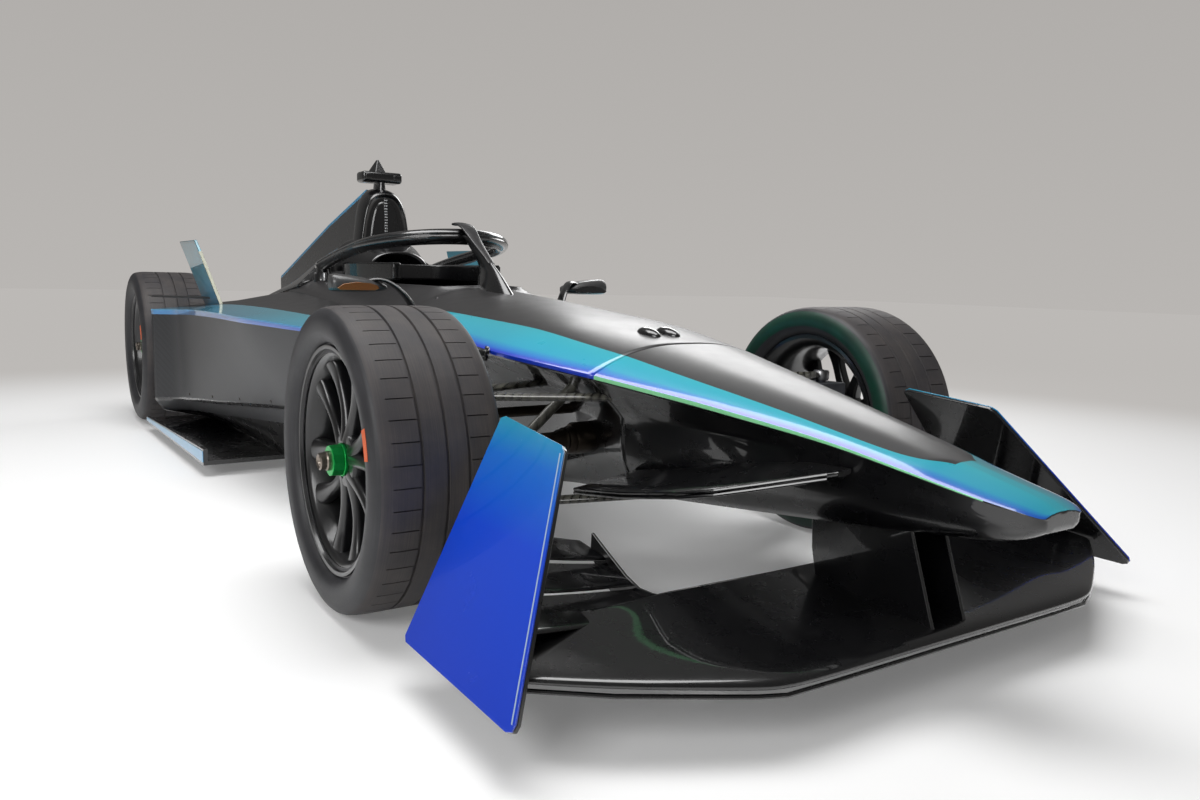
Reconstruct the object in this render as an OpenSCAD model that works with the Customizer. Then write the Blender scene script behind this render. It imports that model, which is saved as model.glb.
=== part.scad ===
// Open wheel racing car, in millimetres. The origin is on the ground under the middle of the
// car's length. +X points forwards, +Y to the car's left and +Z up.

/* [Layout] */
// Nose tip ahead of the front axle
nose_reach = 1135; // [1000:5:1400]
// Distance between the front and rear axles
wheelbase = 2970; // [2400:5:3600]
// Tail end behind the rear axle
tail_reach = 911; // [800:5:1150]
// Running gap between faces that rest on each other
seat_gap = 0.3; // [0.2:0.1:0.8]

/* [Wheels] */
// Front tyre radius
front_tyre_r = 329; // [300:1:360]
// Front tyre width
front_tyre_w = 278; // [240:1:300]
// Outer face of the front tyre from the middle plane
front_outer_y = 840; // [780:1:900]
// Rear tyre radius
rear_tyre_r = 353; // [320:1:400]
// Rear tyre width
rear_tyre_w = 299; // [250:1:330]
// Outer face of the rear tyre from the middle plane
rear_outer_y = 850; // [780:1:920]
// Bead seat radius of the rims
bead_r = 228; // [200:1:240]
// Rim wall thickness
rim_wall = 9; // [6:0.5:14]
// Depth of the front spokes behind the rim's outer edge
front_dish = 28; // [20:1:60]
// Depth of the rear spokes behind the rim's outer edge
rear_dish = 45; // [35:1:80]
// Number of split spokes
spoke_count = 5; // [4:1:7]
// Radius of the wheel spindle in its upright
spindle_r = 32; // [24:1:40]

/* [Steering] */
// Kingpin axis from the middle plane
kingpin_y = 640; // [600:1:660]
// Steering arm length behind the kingpin
steer_arm = 100; // [70:1:120]
// Tie rod height above the wheel centre
tie_rod_rise = 62; // [50:1:80]
// Tie rod radius
tie_rod_r = 13; // [9:1:16]

/* [Monocoque] */
// Wall thickness of the monocoque
tub_wall = 25; // [15:1:32]
// Half width of the monocoque beside the cockpit
tub_half = 360; // [330:1:400]
// Length of the cockpit opening
cockpit_l = 830; // [700:5:900]
// Half width of the cockpit opening
cockpit_half = 225; // [190:1:250]
// Steering column radius
column_r = 14; // [10:1:18]

/* [Seat and headrest] */
// Half width of the seat
seat_half = 190; // [150:1:200]
// Thickness of the seat shell
seat_t = 12; // [8:1:20]
// Underside of the headrest surround above the ground
headrest_z = 700; // [660:1:740]
// Height of the headrest surround
headrest_h = 64; // [60:1:110]

/* [Powertrain] */
// Half width of the powertrain block
powertrain_half = 170; // [150:1:220]
// Underside of the powertrain block above the ground
powertrain_low = 148; // [120:1:180]
// Top of the powertrain block above the rear wheel centre
powertrain_rise = 125; // [110:1:150]

/* [Sidepods and floor] */
// Half width of the sidepods at their widest edge
pod_half = 735; // [680:1:760]
// Wall thickness of the sidepod skin
pod_wall = 9; // [6:0.5:10]
// Wall thickness of the engine cover
cover_wall = 9; // [6:0.5:12]
// Half width of the floor at its rear corners
floor_half = 845; // [780:1:850]
// Floor plate thickness
floor_t = 16; // [10:1:20]
// Underside of the floor above the ground
ride_height = 42; // [30:1:60]

/* [Front wing] */
// Half width of the straight centre of the wing
wing_centre_half = 410; // [360:1:440]
// Leading edge of the wing ahead of the front axle
wing_lead = 970; // [920:1:1020]
// Chord of the main plane
wing_chord = 330; // [260:1:360]
// Thickness of the endplates
endplate_t = 12; // [8:1:16]
// Distance of the two wing pylons from the middle plane
pylon_y = 45; // [35:1:60]

/* [Halo and roll hoop] */
// Half width of the halo hoop
halo_half = 265; // [240:1:290]
// Radius of the halo tube
halo_r = 25; // [20:1:30]
// Top of the roll hoop above the ground
hoop_top = 1060; // [980:1:1100]
// Top of the beacon above the ground
beacon_top = 1200; // [1150:1:1250]

/* [Tail] */
// Radius of the towing eye through the crash structure
tow_eye_r = 12; // [8:0.5:16]
// Towing eye ahead of the tail end
tow_eye_x = 90; // [60:5:200]
// Half width of the crash structure's straight end
crash_half = 45; // [36:1:60]
// Thickness of the rain light
light_t = 22; // [12:1:30]

/* [Mirrors and fins] */
// Mirror housing width
mirror_w = 190; // [150:1:220]
// Mirror housing height
mirror_h = 58; // [45:1:70]
// Rear fin height above the sidepod
fin_h = 262; // [200:1:300]
// Rear fin distance from the middle plane
fin_y = 610; // [560:1:640]
// Rear fin thickness
fin_t = 12; // [8:1:16]

/* [Hidden] */
$fn = 48;
overall_l = nose_reach + wheelbase + tail_reach;
front_axle = overall_l / 2 - nose_reach;
rear_axle = front_axle - wheelbase;
nose_seam = front_axle + 180;
cockpit = rear_axle + 1500;
cockpit_back = rear_axle + 1220;
tub_back = rear_axle + 820;
pod_back = rear_axle + 410;
tail_end = rear_axle - tail_reach;
floor_top = ride_height + floor_t;
front_wheel_y = front_outer_y - front_tyre_w / 2;
rear_wheel_y = rear_outer_y - rear_tyre_w / 2;
rim_lip_r = bead_r + 18;
hub_r = 62;
spindle_bore_r = spindle_r + seat_gap;
tie_rod_z = front_tyre_r + tie_rod_rise;
ball_rise = 128;
pin_r = 8;
eye_half = 13;
arm_r = 11;
eye_clear = 7;
fork_t = 7;
front_boot_y = 165;
powertrain_back = rear_axle - 250;
powertrain_top = rear_tyre_r + powertrain_rise;
fork_half = tie_rod_r + 1;

// Rows of the body: x, half width and height of the edge line, top, half width and height of the
// waist under the overhang, half bottom, bottom
nose_rows = [
    [front_axle + nose_reach, 60, 370, 378, 57, 362, 38, 346],
    [front_axle + 1105, 76, 378, 392, 73, 366, 48, 328],
    [front_axle + 1050, 87, 385, 404, 84, 370, 55, 314],
    [front_axle + 750, 128, 439, 470, 118, 394, 80, 276],
    [front_axle + 450, 200, 478, 526, 148, 402, 105, 243],
    [nose_seam, 276, 508, 574, 187, 404, 130, 215]
];
tub_rows = [
    [nose_seam, 276, 508, 574, 150, 404, 125, 215],
    [front_axle - 150, tub_half + 14, 541, 617, 160, 430, 140, 185],
    [front_axle - 450, tub_half, 560, 642, 250, 400, 200, 130],
    [rear_axle + 1870, tub_half, 600, 695, 340, 330, 280, floor_top + seat_gap],
    [rear_axle + 1470, tub_half, 620, 715, 345, 330, 290, floor_top + seat_gap],
    [rear_axle + 1070, tub_half, 640, 760, 345, 330, 290, floor_top + seat_gap],
    [tub_back, tub_half - 20, 640, 780, 325, 330, 290, floor_top + seat_gap]
];
// Rows of the widest edge of the sidepods: x, edge half width, edge height, crease half width,
// crease height, skirt half width, skirt height, foot half width, foot height
pod_mid = front_axle - 450;
pod_full = rear_axle + 1870;
function pod_x(t) = pod_mid + t * (pod_full - pod_mid);
shelf_drop = 16;
pod_rows = [
    shelf_row(front_axle - 150, tub_half + 28, 541),
    shelf_row(pod_mid, 487, 550),
    [pod_x(0.4), 578, 557, 560, 520, 556, 516, 552, 512],
    [pod_x(0.7), 644, 563, 600, 380, 592, 350, 588, 346],
    [pod_full, 692, 570, 612, 285, 592, 230, 575, 226],
    [rear_axle + 1720, pod_half - 8, 572, 620, 272, 600, 215, 520, floor_top + seat_gap],
    [rear_axle + 1370, pod_half, 572, 652, 238, 630, 185, 540, floor_top + seat_gap],
    [rear_axle + 1070, pod_half, 567, 682, 208, 658, 156, 552, floor_top + seat_gap],
    [tub_back, pod_half, 561, 703, 187, 679, 137, 562, floor_top + seat_gap],
    [rear_axle + 540, pod_half, 549, 728, 162, 700, 112, 580, floor_top + seat_gap],
    [pod_back, pod_half + 85, 546, pod_half + 82, 148, pod_half + 50, 100, 600, floor_top + seat_gap]
];
function shelf_row(x, y, z) =
    [x, y, z, y - 2, z - shelf_drop, y - 3, z - shelf_drop - 2, y - 4, z - shelf_drop - 4];
// Rows of the engine cover: x, half base, base height, shoulder half width, shoulder, top
cover_rows = [
    [rear_axle + 985, 340, 660, 262, 752, 900],
    [tub_back, tub_half - 20, 640, 240, 745, 900],
    [pod_back, 330, 600, 170, 690, 830],
    [rear_axle - 100, 240, 520, 120, 620, 730],
    [rear_axle - 500, 120, 450, 60, 545, 620],
    [rear_axle - 620, 80, 440, 40, 520, 590]
];

function table(rows, col) = [for (r = rows) [r[0], r[col]]];
function tub_side(x) = lookup(x, table(tub_rows, 1));
function tub_edge(x) = lookup(x, table(tub_rows, 2));
function tub_top(x) = lookup(x, table(tub_rows, 3));
function nose_low(x) = lookup(x, table(nose_rows, 7));
function pod_inner(x) = x > tub_back ? tub_side(x) : lookup(x, table(cover_rows, 1));
function pod_inner_z(x) = x > tub_back ? tub_edge(x) : lookup(x, table(cover_rows, 2));

// A ring at one x from half of its outline, which runs from the bottom to the top
function ring(x, half) = concat(
    [for (p = half) [x, p[0], p[1]]],
    [for (i = [len(half) - 1 : -1 : 0]) if (half[i][0] > 0) [x, -half[i][0], half[i][1]]]);
function closed(x, line) = [for (p = line) [x, p[0], p[1]]];

// A closed solid through rings of points; its faces are turned to point outwards
module loft(rings) {
    n = len(rings[0]);
    m = len(rings);
    points = [for (r = rings) each r];
    sides = [for (i = [0 : m - 2], j = [0 : n - 1]) let (
        a = i * n + j, b = i * n + (j + 1) % n, c = a + n, d = b + n)
        each [[a, c, d], [a, d, b]]];
    last = (m - 1) * n;
    faces = concat(end_cap(n, 0), sides, [for (f = end_cap(n, last)) reversed(f)]);
    outwards = signed_volume(points, faces) < 0;
    polyhedron(points = points, faces = [for (f = faces) outwards ? f : reversed(f)]);
}
// A ladder of triangles across a ring, which also fits a thin bent outline
function end_cap(n, at) = [for (i = [0 : floor((n - 3) / 2)])
    each [if (i + 1 < n - 2 - i) [at + i, at + i + 1, at + n - 2 - i],
        [at + i, at + n - 2 - i, at + n - 1 - i]]];
function signed_volume(points, faces) = total([for (f = faces, k = [1 : len(f) - 2])
    points[f[0]] * cross(points[f[k]], points[f[k + 1]])]);
function total(v) = v * [for (x = v) 1];
function reversed(f) = [for (i = [len(f) - 1 : -1 : 0]) f[i]];

module left_or_right(side) {
    if (side > 0) children();
    else mirror([0, 1, 0]) children();
}
module both_sides() {
    children();
    mirror([0, 1, 0]) children();
}
// A straight round bar from a to b
module bar(a, b, r) {
    d = b - a;
    translate(a) rotate([0, acos(d[2] / norm(d)), atan2(d[1], d[0])]) cylinder(h = norm(d), r = r);
}
// A plate in the XZ plane, t thick, with its middle at y
module upright_plate(points, t, y) {
    translate([0, y + t / 2, 0]) rotate([90, 0, 0]) linear_extrude(t) polygon(points);
}

// Half outline of the nose and monocoque, grown by g
function body_half(r, g) = [
    [0, r[7] - g],
    [r[6] + g, r[7] - g],
    [r[4] + g, r[7] + 0.4 * (r[5] - r[7])],
    [r[4] + g, r[5]],
    [r[1] + g, r[2] - 0.2 * min(70, r[2] - r[5])],
    [r[1] + g, r[2] + g / 2],
    [r[1] * 0.6 + g, r[2] + (r[3] - r[2]) * 0.8 + g],
    [0, r[3] + g]
];
module body_loft(rows, g = 0) {
    loft([for (r = rows) ring(r[0], body_half(r, g))]);
}
// The same loft with its two ends moved in by the wall
module body_inside(rows) {
    last = len(rows) - 1;
    inner = [for (i = [0 : last]) [
        rows[i][0] + (i == 0 ? -tub_wall : i == last ? tub_wall : 0),
        each [for (k = [1 : len(rows[i]) - 1]) rows[i][k]]]];
    body_loft(inner, -tub_wall);
}

module tub() {
    dash_x = cockpit + 560;
    color("#17181b") difference() {
        union() {
            difference() {
                body_loft(tub_rows);
                body_inside(tub_rows);
            }
            intersection() {
                body_loft(tub_rows, -1);
                translate([dash_x, -tub_half, 440]) cube([30, 2 * tub_half, 260]);
            }
        }
        cockpit_cut();
        tie_rod_line(tie_rod_r + seat_gap);
        steering_column(column_r + seat_gap);
    }
}
module cockpit_cut() {
    x0 = cockpit_back;
    x1 = cockpit_back + cockpit_l;
    translate([0, 0, 450]) linear_extrude(400) polygon([
        [x0, -170], [x0 + 120, -cockpit_half], [x1 - 280, -cockpit_half], [x1 - 30, -165],
        [x1, -110], [x1, 110], [x1 - 30, 165], [x1 - 280, cockpit_half],
        [x0 + 120, cockpit_half], [x0, 170]]);
}

module nose_cone() {
    color("#17181b") translate([seat_gap, 0, 0]) body_loft(nose_rows);
}

// Front wing: the straight centre, then swept outer parts that reach the endplates
wing_z = 112;
function wing_section(x, y, z, chord, rise, t) = [
    [x, y, z], [x - 0.25 * chord, y, z + t * 0.6 + rise * 0.1],
    [x - 0.7 * chord, y, z + t * 0.5 + rise * 0.55], [x - chord, y, z + rise + 4],
    [x - chord, y, z + rise - 4], [x - 0.7 * chord, y, z - t * 0.3 + rise * 0.5],
    [x - 0.25 * chord, y, z - t * 0.5]];
module wing_solid() {
    nose = front_axle + wing_lead;
    half = [
        wing_section(nose, pylon_y * 3, wing_z, wing_chord + 25, 36, 26),
        wing_section(nose, wing_centre_half, wing_z, wing_chord, 48, 26),
        wing_section(front_axle + 930, 500, wing_z + 3, wing_chord - 35, 40, 22),
        wing_section(front_axle + 850, 650, wing_z + 7, wing_chord - 95, 26, 18),
        wing_section(front_axle + 745, 808, wing_z + 14, wing_chord - 155, 20, 14)];
    last = len(half) - 1;
    loft(concat([for (i = [last : -1 : 0]) [for (p = half[i]) [p[0], -p[1], p[2]]]], half));
}
module front_wing() {
    color("#101114") difference() {
        wing_solid();
        both_sides() endplate_plate(endplate_t + 2 * seat_gap);
    }
}

// Three stacked flaps on each side between the fence and the endplate
flap_step = 42;
module flap(i) {
    tip_z = 168 + flap_step * i;
    loft([
        wing_section(front_axle + 640 - 95 * i, wing_centre_half, 125 + 24 * i, 100, 14, 8),
        wing_section(front_axle + 700 - 80 * i, endplate_y(tip_z) - 10, tip_z, 125, 26, 8)]);
}
module front_flaps() {
    color("#101114") difference() {
        both_sides() {
            for (i = [0 : 2]) flap(i);
            fence();
        }
        wing_solid();
        translate([0, 0, seat_gap]) wing_solid();
        both_sides() endplate_plate(endplate_t + 2 * seat_gap);
    }
}
module fence() {
    upright_plate([
        [front_axle + 655, 80], [front_axle + 655, 152], [front_axle + 517, 165],
        [front_axle + 395, 215], [front_axle + 370, 190], [front_axle + 500, 105]],
        6, wing_centre_half);
}

// Endplates lean outwards towards the ground
endplate_top_y = 588;
endplate_top_z = 452;
endplate_lean = 32.4;
function endplate_y(z) = endplate_top_y + (endplate_top_z - z) * tan(endplate_lean);
module endplate_plate(t) {
    back = front_tyre_r + 16;
    translate([front_axle, endplate_top_y, endplate_top_z]) rotate([endplate_lean, 0, 0])
        upright_plate([
            [back, 0], [back + 15, 6], [590, -16], [605, -26], [838, -420], [838, -432],
            [825, -438], [back + 100, -438], [back + 87, -430]], t, 0);
}
module endplate(side) {
    color("#0a3ccf") left_or_right(side) endplate_plate(endplate_t);
}

module wing_pylons() {
    color("#101114") difference() {
        both_sides() upright_plate([
            [front_axle + 948, wing_z], [front_axle + 880, nose_low(front_axle + 880) + 20],
            [front_axle + 640, nose_low(front_axle + 640) + 20],
            [front_axle + 660, wing_z + 20]], 8, pylon_y);
        body_loft(nose_rows, 2 * seat_gap);
        wing_solid();
        translate([0, 0, seat_gap]) wing_solid();
        translate([0, 0, -20]) wing_solid();
    }
}

// Shelves along the lower sides of the nose, falling outwards and to the back.
// Rows: x, inner y and z, outer y and z
shelf_skin = 9;
nose_shelf_rows = [
    [front_axle + 800, 118, 395, 150, 392],
    [front_axle + 700, 125, 392, 250, 360],
    [front_axle + 570, 132, 370, 335, 326],
    [front_axle + 400, 140, 330, 345, 292],
    [front_axle + 200, 150, 290, 340, 260]];
function nose_shelf_ring(r) = [
    [r[0], 60, r[2]], [r[0], r[1], r[2]], [r[0], r[3], r[4]],
    [r[0], r[3], r[4] - shelf_skin], [r[0], r[1], r[2] - shelf_skin],
    [r[0], 60, r[2] - shelf_skin]];
module side_shelves() {
    color("#101114") difference() {
        both_sides() loft([for (r = nose_shelf_rows) nose_shelf_ring(r)]);
        body_loft(nose_rows, seat_gap);
        body_loft(tub_rows, seat_gap);
    }
}

module floor() {
    front = rear_axle + 1470;
    color("#101114") union() {
        translate([0, 0, ride_height]) linear_extrude(floor_t) polygon([
            [front_axle - 700, 150], [front + 100, 260], [front, 500], [front, 810],
            [rear_axle + 340, floor_half], [rear_axle + 330, 520], [rear_axle + 330, -520],
            [rear_axle + 340, -floor_half], [front, -810], [front, -500],
            [front + 100, -260], [front_axle - 700, -150]]);
        both_sides() hull() {
            translate([front - 60, 796, ride_height + 2]) cube([60, 14, 56]);
            translate([rear_axle + 345, floor_half - 14, ride_height + 2]) cube([20, 14, 20]);
        }
    }
}

module diffuser() {
    front = rear_axle + 330 - seat_gap;
    color("#101114") union() {
        upright_plate([
            [front, ride_height], [front, floor_top], [rear_axle - 60, floor_top + 4],
            [rear_axle - 560, 262], [rear_axle - 560, 250], [rear_axle - 60, ride_height + 8]],
            1000, 0);
        for (y = [-496, -250, 0, 250, 496]) upright_plate([
            [rear_axle - 60, ride_height + 12], [rear_axle - 560, 256],
            [rear_axle - 560, 130], [rear_axle - 200, ride_height + 4]], 8, y);
    }
}

// Sidepod skin: open inwards, open in front as the inlet and open behind
function pod_outer(r) = [
    [pod_inner(r[0]) + seat_gap, pod_inner_z(r[0])], [r[1], r[2]], [r[3], r[4]],
    [r[5], r[6]], [r[7], r[8]]];
function pod_skin(r) = let (w = min(pod_wall, shelf_drop - 6)) concat(pod_outer(r), [
    [r[7] - w, r[8]], [r[5] - w - 1, r[6]], [r[3] - w - 1, r[4]], [r[1] - w - 2, r[2] - w],
    [pod_inner(r[0]) + seat_gap, pod_inner_z(r[0]) - w]]);
module sidepod(side) {
    color("#1c1d21") left_or_right(side)
        loft([for (r = pod_rows) closed(r[0], pod_skin(r))]);
}
module pod_solid(g) {
    loft([for (r = pod_rows) closed(r[0], [
        [pod_inner(r[0]), pod_inner_z(r[0]) + g], [r[1] + g, r[2] + g],
        [r[1] + g, r[2] - 60], [pod_inner(r[0]), r[2] - 60]])]);
}

function cover_half(r, g, drop) = [
    [0, r[2] - drop], [r[1] + g, r[2] - drop], [r[1] + g, r[2] + 14], [r[3] + g, r[4] + g],
    [r[3] * 0.45 + g, r[4] * 0.35 + r[5] * 0.65 + g], [0, r[5] + g]];
module cover_loft(g = 0, drop = 0) {
    loft([for (r = cover_rows) ring(r[0], cover_half(r, g, drop))]);
}
module fin_spine(t, g) {
    upright_plate([
        [rear_axle + 951 + g, 760], [rear_axle + 951 + g, hoop_top + 10 + g],
        [rear_axle + 860, 1085 + g], [rear_axle + 320, 951 + g], [rear_axle - 420, 741 + g],
        [rear_axle - 600, 690], [rear_axle - 600, 560]], t, 0);
}
module engine_cover() {
    color("#17181b") difference() {
        union() {
            cover_loft();
            fin_spine(10, 0);
        }
        cover_loft(-cover_wall, 30);
        hoop_solid(seat_gap);
        body_loft(tub_rows, seat_gap);
    }
}

module hoop_solid(g) {
    loft([
        hoop_ring(rear_axle + 1090, 95 + g, hoop_top - 5 + g, 740),
        hoop_ring(rear_axle + 1000, 105 + g, hoop_top + 22 + g, 740),
        hoop_ring(rear_axle + 951 - g, 60 + g, hoop_top + 10 + g, 740)]);
}
module roll_hoop() {
    color("#0c0d10") difference() {
        hoop_solid(0);
        body_loft(tub_rows, seat_gap);
    }
}
function hoop_ring(x, w, top, base) = closed(x, [
    [w * 1.3, base], [w, base + (top - base) * 0.55], [w * 0.85, top - 55], [w * 0.5, top - 12],
    [0, top], [-w * 0.5, top - 12], [-w * 0.85, top - 55], [-w, base + (top - base) * 0.55],
    [-w * 1.3, base]]);

// The halo runs from its rear feet round the cockpit's front on one pillar
halo_front = rear_axle + 1860;
halo_foot = rear_axle + 1020;
halo_bow = 330;
// Height of the tube's centre where the legs pass into the bow
halo_shoulder_z = 818;
halo_steps = 26;
function halo_point(t) = let (
    a = 180 * (t - 0.25) / 0.5,
    back = halo_front - halo_bow)
    t < 0.25 ? halo_leg(-1, t / 0.25, back)
    : t > 0.75 ? halo_leg(1, (1 - t) / 0.25, back)
    : [back + halo_bow * sin(a), -halo_half * cos(a), halo_shoulder_z + 40 * sin(a)];
function halo_leg(s, u, back) = [
    halo_foot + u * (back - halo_foot), s * (halo_half - 12 * (1 - u)),
    halo_shoulder_z - 52 * (1 - u) - 18 * (1 - u) * (1 - u)];
function halo_dir(t) = let (d = halo_point(min(1, t + 0.01)) - halo_point(max(0, t - 0.01)))
    d / norm(d);
function halo_ring(t) = let (p = halo_point(t), d = halo_dir(t),
    s = cross(d, [0, 0, 1]) / norm(cross(d, [0, 0, 1])), u = cross(s, d))
    [for (k = [0 : 11]) p + halo_r * (1.15 * cos(-30 * k) * s + sin(-30 * k) * u)];
module halo() {
    color("#0c0d10") difference() {
        halo_solid();
        body_loft(tub_rows, seat_gap);
    }
}
module halo_solid() {
    union() {
        loft([for (i = [0 : halo_steps]) halo_ring(i / halo_steps)]);
        upright_plate([
            [halo_front - 60, 840], [halo_front + 12, 862], [cockpit + 655, 736],
            [cockpit + 765, tub_top(cockpit + 765) - 20],
            [cockpit + 560, tub_top(cockpit + 560) - 20], [cockpit + 600, 716]], 22, 0);
        both_sides() translate([halo_foot + 30, halo_half - 12, 600]) cylinder(h = 150, r = 20);
    }
}

module headrest() {
    color("#0c0d10") difference() {
        translate([0, 0, headrest_z]) linear_extrude(headrest_h) polygon([
            [cockpit_back - 10, -225], [cockpit - 120, -262], [cockpit + 230, -215],
            [cockpit + 230, 215], [cockpit - 120, 262], [cockpit_back - 10, 225]]);
        translate([0, 0, headrest_z - 1]) linear_extrude(headrest_h + 2) polygon([
            [cockpit_back + 70, -130], [cockpit - 120, -190], [cockpit + 240, -175],
            [cockpit + 240, 175], [cockpit - 120, 190], [cockpit_back + 70, 130]]);
        body_loft(tub_rows, seat_gap);
    }
}

module seat() {
    base = floor_top + tub_wall + 2 * seat_gap;
    color("#26272b") union() {
        for (s = [-1, 1]) upright_plate([
            [cockpit + 250, base], [cockpit + 250, base + 130], [cockpit - 60, base + 120],
            [cockpit - 230, 560], [cockpit - 260, 560], [cockpit - 120, base]],
            seat_t, s * seat_half);
        upright_plate([
            [cockpit + 250, base], [cockpit + 250, base + seat_t], [cockpit - 90, base + seat_t],
            [cockpit - 246, 640], [cockpit - 260, 640], [cockpit - 110, base]],
            2 * seat_half, 0);
    }
}

// Steering column: from the wheel down to the dash bulkhead
column_tilt = 14;
wheel_hub = [cockpit + 450, 0, 600];
module steering_column(r) {
    translate(wheel_hub) rotate([0, 90 + column_tilt, 0]) cylinder(h = 180, r = r);
}
module steering_wheel() {
    color("#1b1c20") {
        steering_column(column_r);
        translate(wheel_hub) rotate([0, 90 + column_tilt, 0]) translate([0, 0, -15])
            linear_extrude(30) union() {
                square([95, 200], center = true);
                for (s = [-1, 1]) translate([0, s * 115]) square([135, 36], center = true);
            }
    }
}

// Mirrors: a housing on one arm from the cockpit side
mirror_x = cockpit + 440;
mirror_y = 325;
mirror_z = 664;
mirror_d = 70;
mirror_arm_r = 10;
module mirror_pod(side) {
    color("#17181b") difference() {
        left_or_right(side) union() {
            translate([mirror_x, mirror_y, mirror_z]) cube([mirror_d, mirror_w, mirror_h]);
            bar([mirror_x + 40, mirror_y + 10, mirror_z + 26],
                [mirror_x + 130, mirror_y - 100, mirror_z - 64], mirror_arm_r);
        }
        body_loft(tub_rows, seat_gap);
    }
}

// Camera pod: a stem on the roll hoop, a cross bar and the beacon above it
camera_x = rear_axle + 970;
camera_bar_half = 86;
camera_bar_z = 1100;
camera_bar_h = 46;
module camera_pod() {
    color("#0c0d10") difference() {
        union() {
            upright_plate([
                [camera_x, hoop_top - 12], [camera_x + 90, hoop_top - 12],
                [camera_x + 80, camera_bar_z + 6], [camera_x, camera_bar_z + 6]], 30, 0);
            translate([camera_x, -camera_bar_half, camera_bar_z])
                cube([90, 2 * camera_bar_half, camera_bar_h]);
            upright_plate([
                [camera_x, camera_bar_z + 30], [camera_x + 55, camera_bar_z + 30],
                [camera_x + 32, beacon_top], [camera_x + 24, beacon_top]], 26, 0);
        }
        hoop_solid(seat_gap);
        fin_spine(10 + 2 * seat_gap, seat_gap);
    }
}

// Fins lean outwards towards their tops
fin_lean = 11;
module fin_plate(t) {
    foot = 590;
    translate([rear_axle, fin_y, foot]) rotate([-fin_lean, 0, 0]) upright_plate([
        [835, -30], [500, -30], [223, fin_h], [590, fin_h], [635, fin_h - 48]], t, 0);
}
module rear_fins() {
    color("#3fa5bf") both_sides() difference() {
        fin_plate(fin_t);
        pod_solid(seat_gap);
    }
}
module winglets() {
    color("#0c0d10") both_sides() difference() {
        translate([0, 0, 598]) linear_extrude(9) polygon([
            [rear_axle + 640, fin_y], [pod_back + 20, pod_half + 85],
            [pod_back - 30, pod_half + 85], [rear_axle + 480, fin_y]]);
        fin_plate(fin_t + 2 * seat_gap);
    }
}

module crash_structure() {
    start = powertrain_back - seat_gap;
    front = tail_end + tow_eye_x + 60;
    color("#101114") difference() {
        loft([
            box_ring(start, 90, 300, 420), box_ring(front, crash_half, 320, 400),
            box_ring(tail_end + light_t, crash_half, 320, 400)]);
        translate([tail_end + tow_eye_x, -2 * crash_half, 360]) rotate([-90, 0, 0])
            cylinder(h = 4 * crash_half, r = tow_eye_r);
    }
}
function box_ring(x, w, low, high) = closed(x, [[w, low], [w, high], [-w, high], [-w, low]]);
module rain_light() {
    color("#7a0d10") translate([tail_end, -35, 325])
        cube([light_t - seat_gap, 70, 68]);
}

module powertrain_block(g) {
    translate([powertrain_back, -powertrain_half - g, powertrain_low - g])
        cube([tub_back - powertrain_back - seat_gap, 2 * (powertrain_half + g),
            powertrain_top - powertrain_low + 2 * g]);
}
module powertrain() {
    color("#3a3b3f") powertrain_block(0);
}

// A wishbone: an eye on the kingpin axis and two legs to the body
module wishbone(axle, r, z, spread_front, spread_back, inner_y, inner_z) {
    eye = [axle, kingpin_y, z];
    difference() {
        union() {
            translate(eye - [0, 0, eye_half]) cylinder(h = 2 * eye_half, r = 24);
            bar(eye - [0, 12, 0], [axle + spread_front, inner_y, inner_z], r);
            bar(eye - [0, 12, 0], [axle - spread_back, inner_y, inner_z], r);
        }
        translate(eye - [0, 0, 40]) cylinder(h = 80, r = pin_r + seat_gap);
    }
}
module front_wishbone_pair(grow) {
    z = front_tyre_r;
    wishbone(front_axle, arm_r + grow, z + ball_rise, 210, 190, 120, z + ball_rise - 4);
    wishbone(front_axle, arm_r + grow, z - ball_rise, 240, 240, 100, z - ball_rise + 30);
}
module front_wishbones() {
    color("#1b1c20") difference() {
        both_sides() front_wishbone_pair(0);
        body_loft(nose_rows, seat_gap);
        body_loft(tub_rows, seat_gap);
    }
}
module front_pushrods() {
    z = front_tyre_r;
    color("#1b1c20") difference() {
        both_sides() bar([front_axle + 42, kingpin_y - 102, z - 118],
            [front_axle + 62, 200, tub_edge(front_axle) - 7], 9);
        both_sides() front_wishbone_pair(seat_gap);
        body_loft(nose_rows, seat_gap);
        body_loft(tub_rows, seat_gap);
    }
}
module tie_rod_line(r) {
    translate([front_axle - steer_arm, -kingpin_y, tie_rod_z]) rotate([-90, 0, 0])
        cylinder(h = 2 * kingpin_y, r = r);
}
module tie_rods() {
    color("#2a2b30") union() {
        tie_rod_line(tie_rod_r);
        both_sides() translate([front_axle - steer_arm, kingpin_y, tie_rod_z - 9])
            cylinder(h = 18, r = tie_rod_r + 3);
    }
}
module driveshaft(axle, z, inner) {
    color("#33343a") both_sides() union() {
        translate([axle, inner, z]) rotate([-90, 0, 0]) cylinder(h = 60, r = 42);
        bar([axle, inner + 50, z], [axle, kingpin_y - 10, z], 16);
        translate([axle, kingpin_y, z]) sphere(r = 28);
    }
}
module front_driveshafts() {
    difference() {
        driveshaft(front_axle, front_tyre_r, front_boot_y);
        body_loft(nose_rows, seat_gap);
        body_loft(tub_rows, seat_gap);
    }
}
module rear_wishbones() {
    z = rear_tyre_r;
    color("#1b1c20") both_sides() difference() {
        union() {
            wishbone(rear_axle, arm_r, z + ball_rise, 300, 180, 120, z + 105);
            wishbone(rear_axle, arm_r, z - ball_rise, 300, 180, 120, z - 110);
        }
        powertrain_block(seat_gap);
    }
}
module rear_driveshafts() {
    driveshaft(rear_axle, rear_tyre_r, powertrain_half + seat_gap);
}

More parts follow.
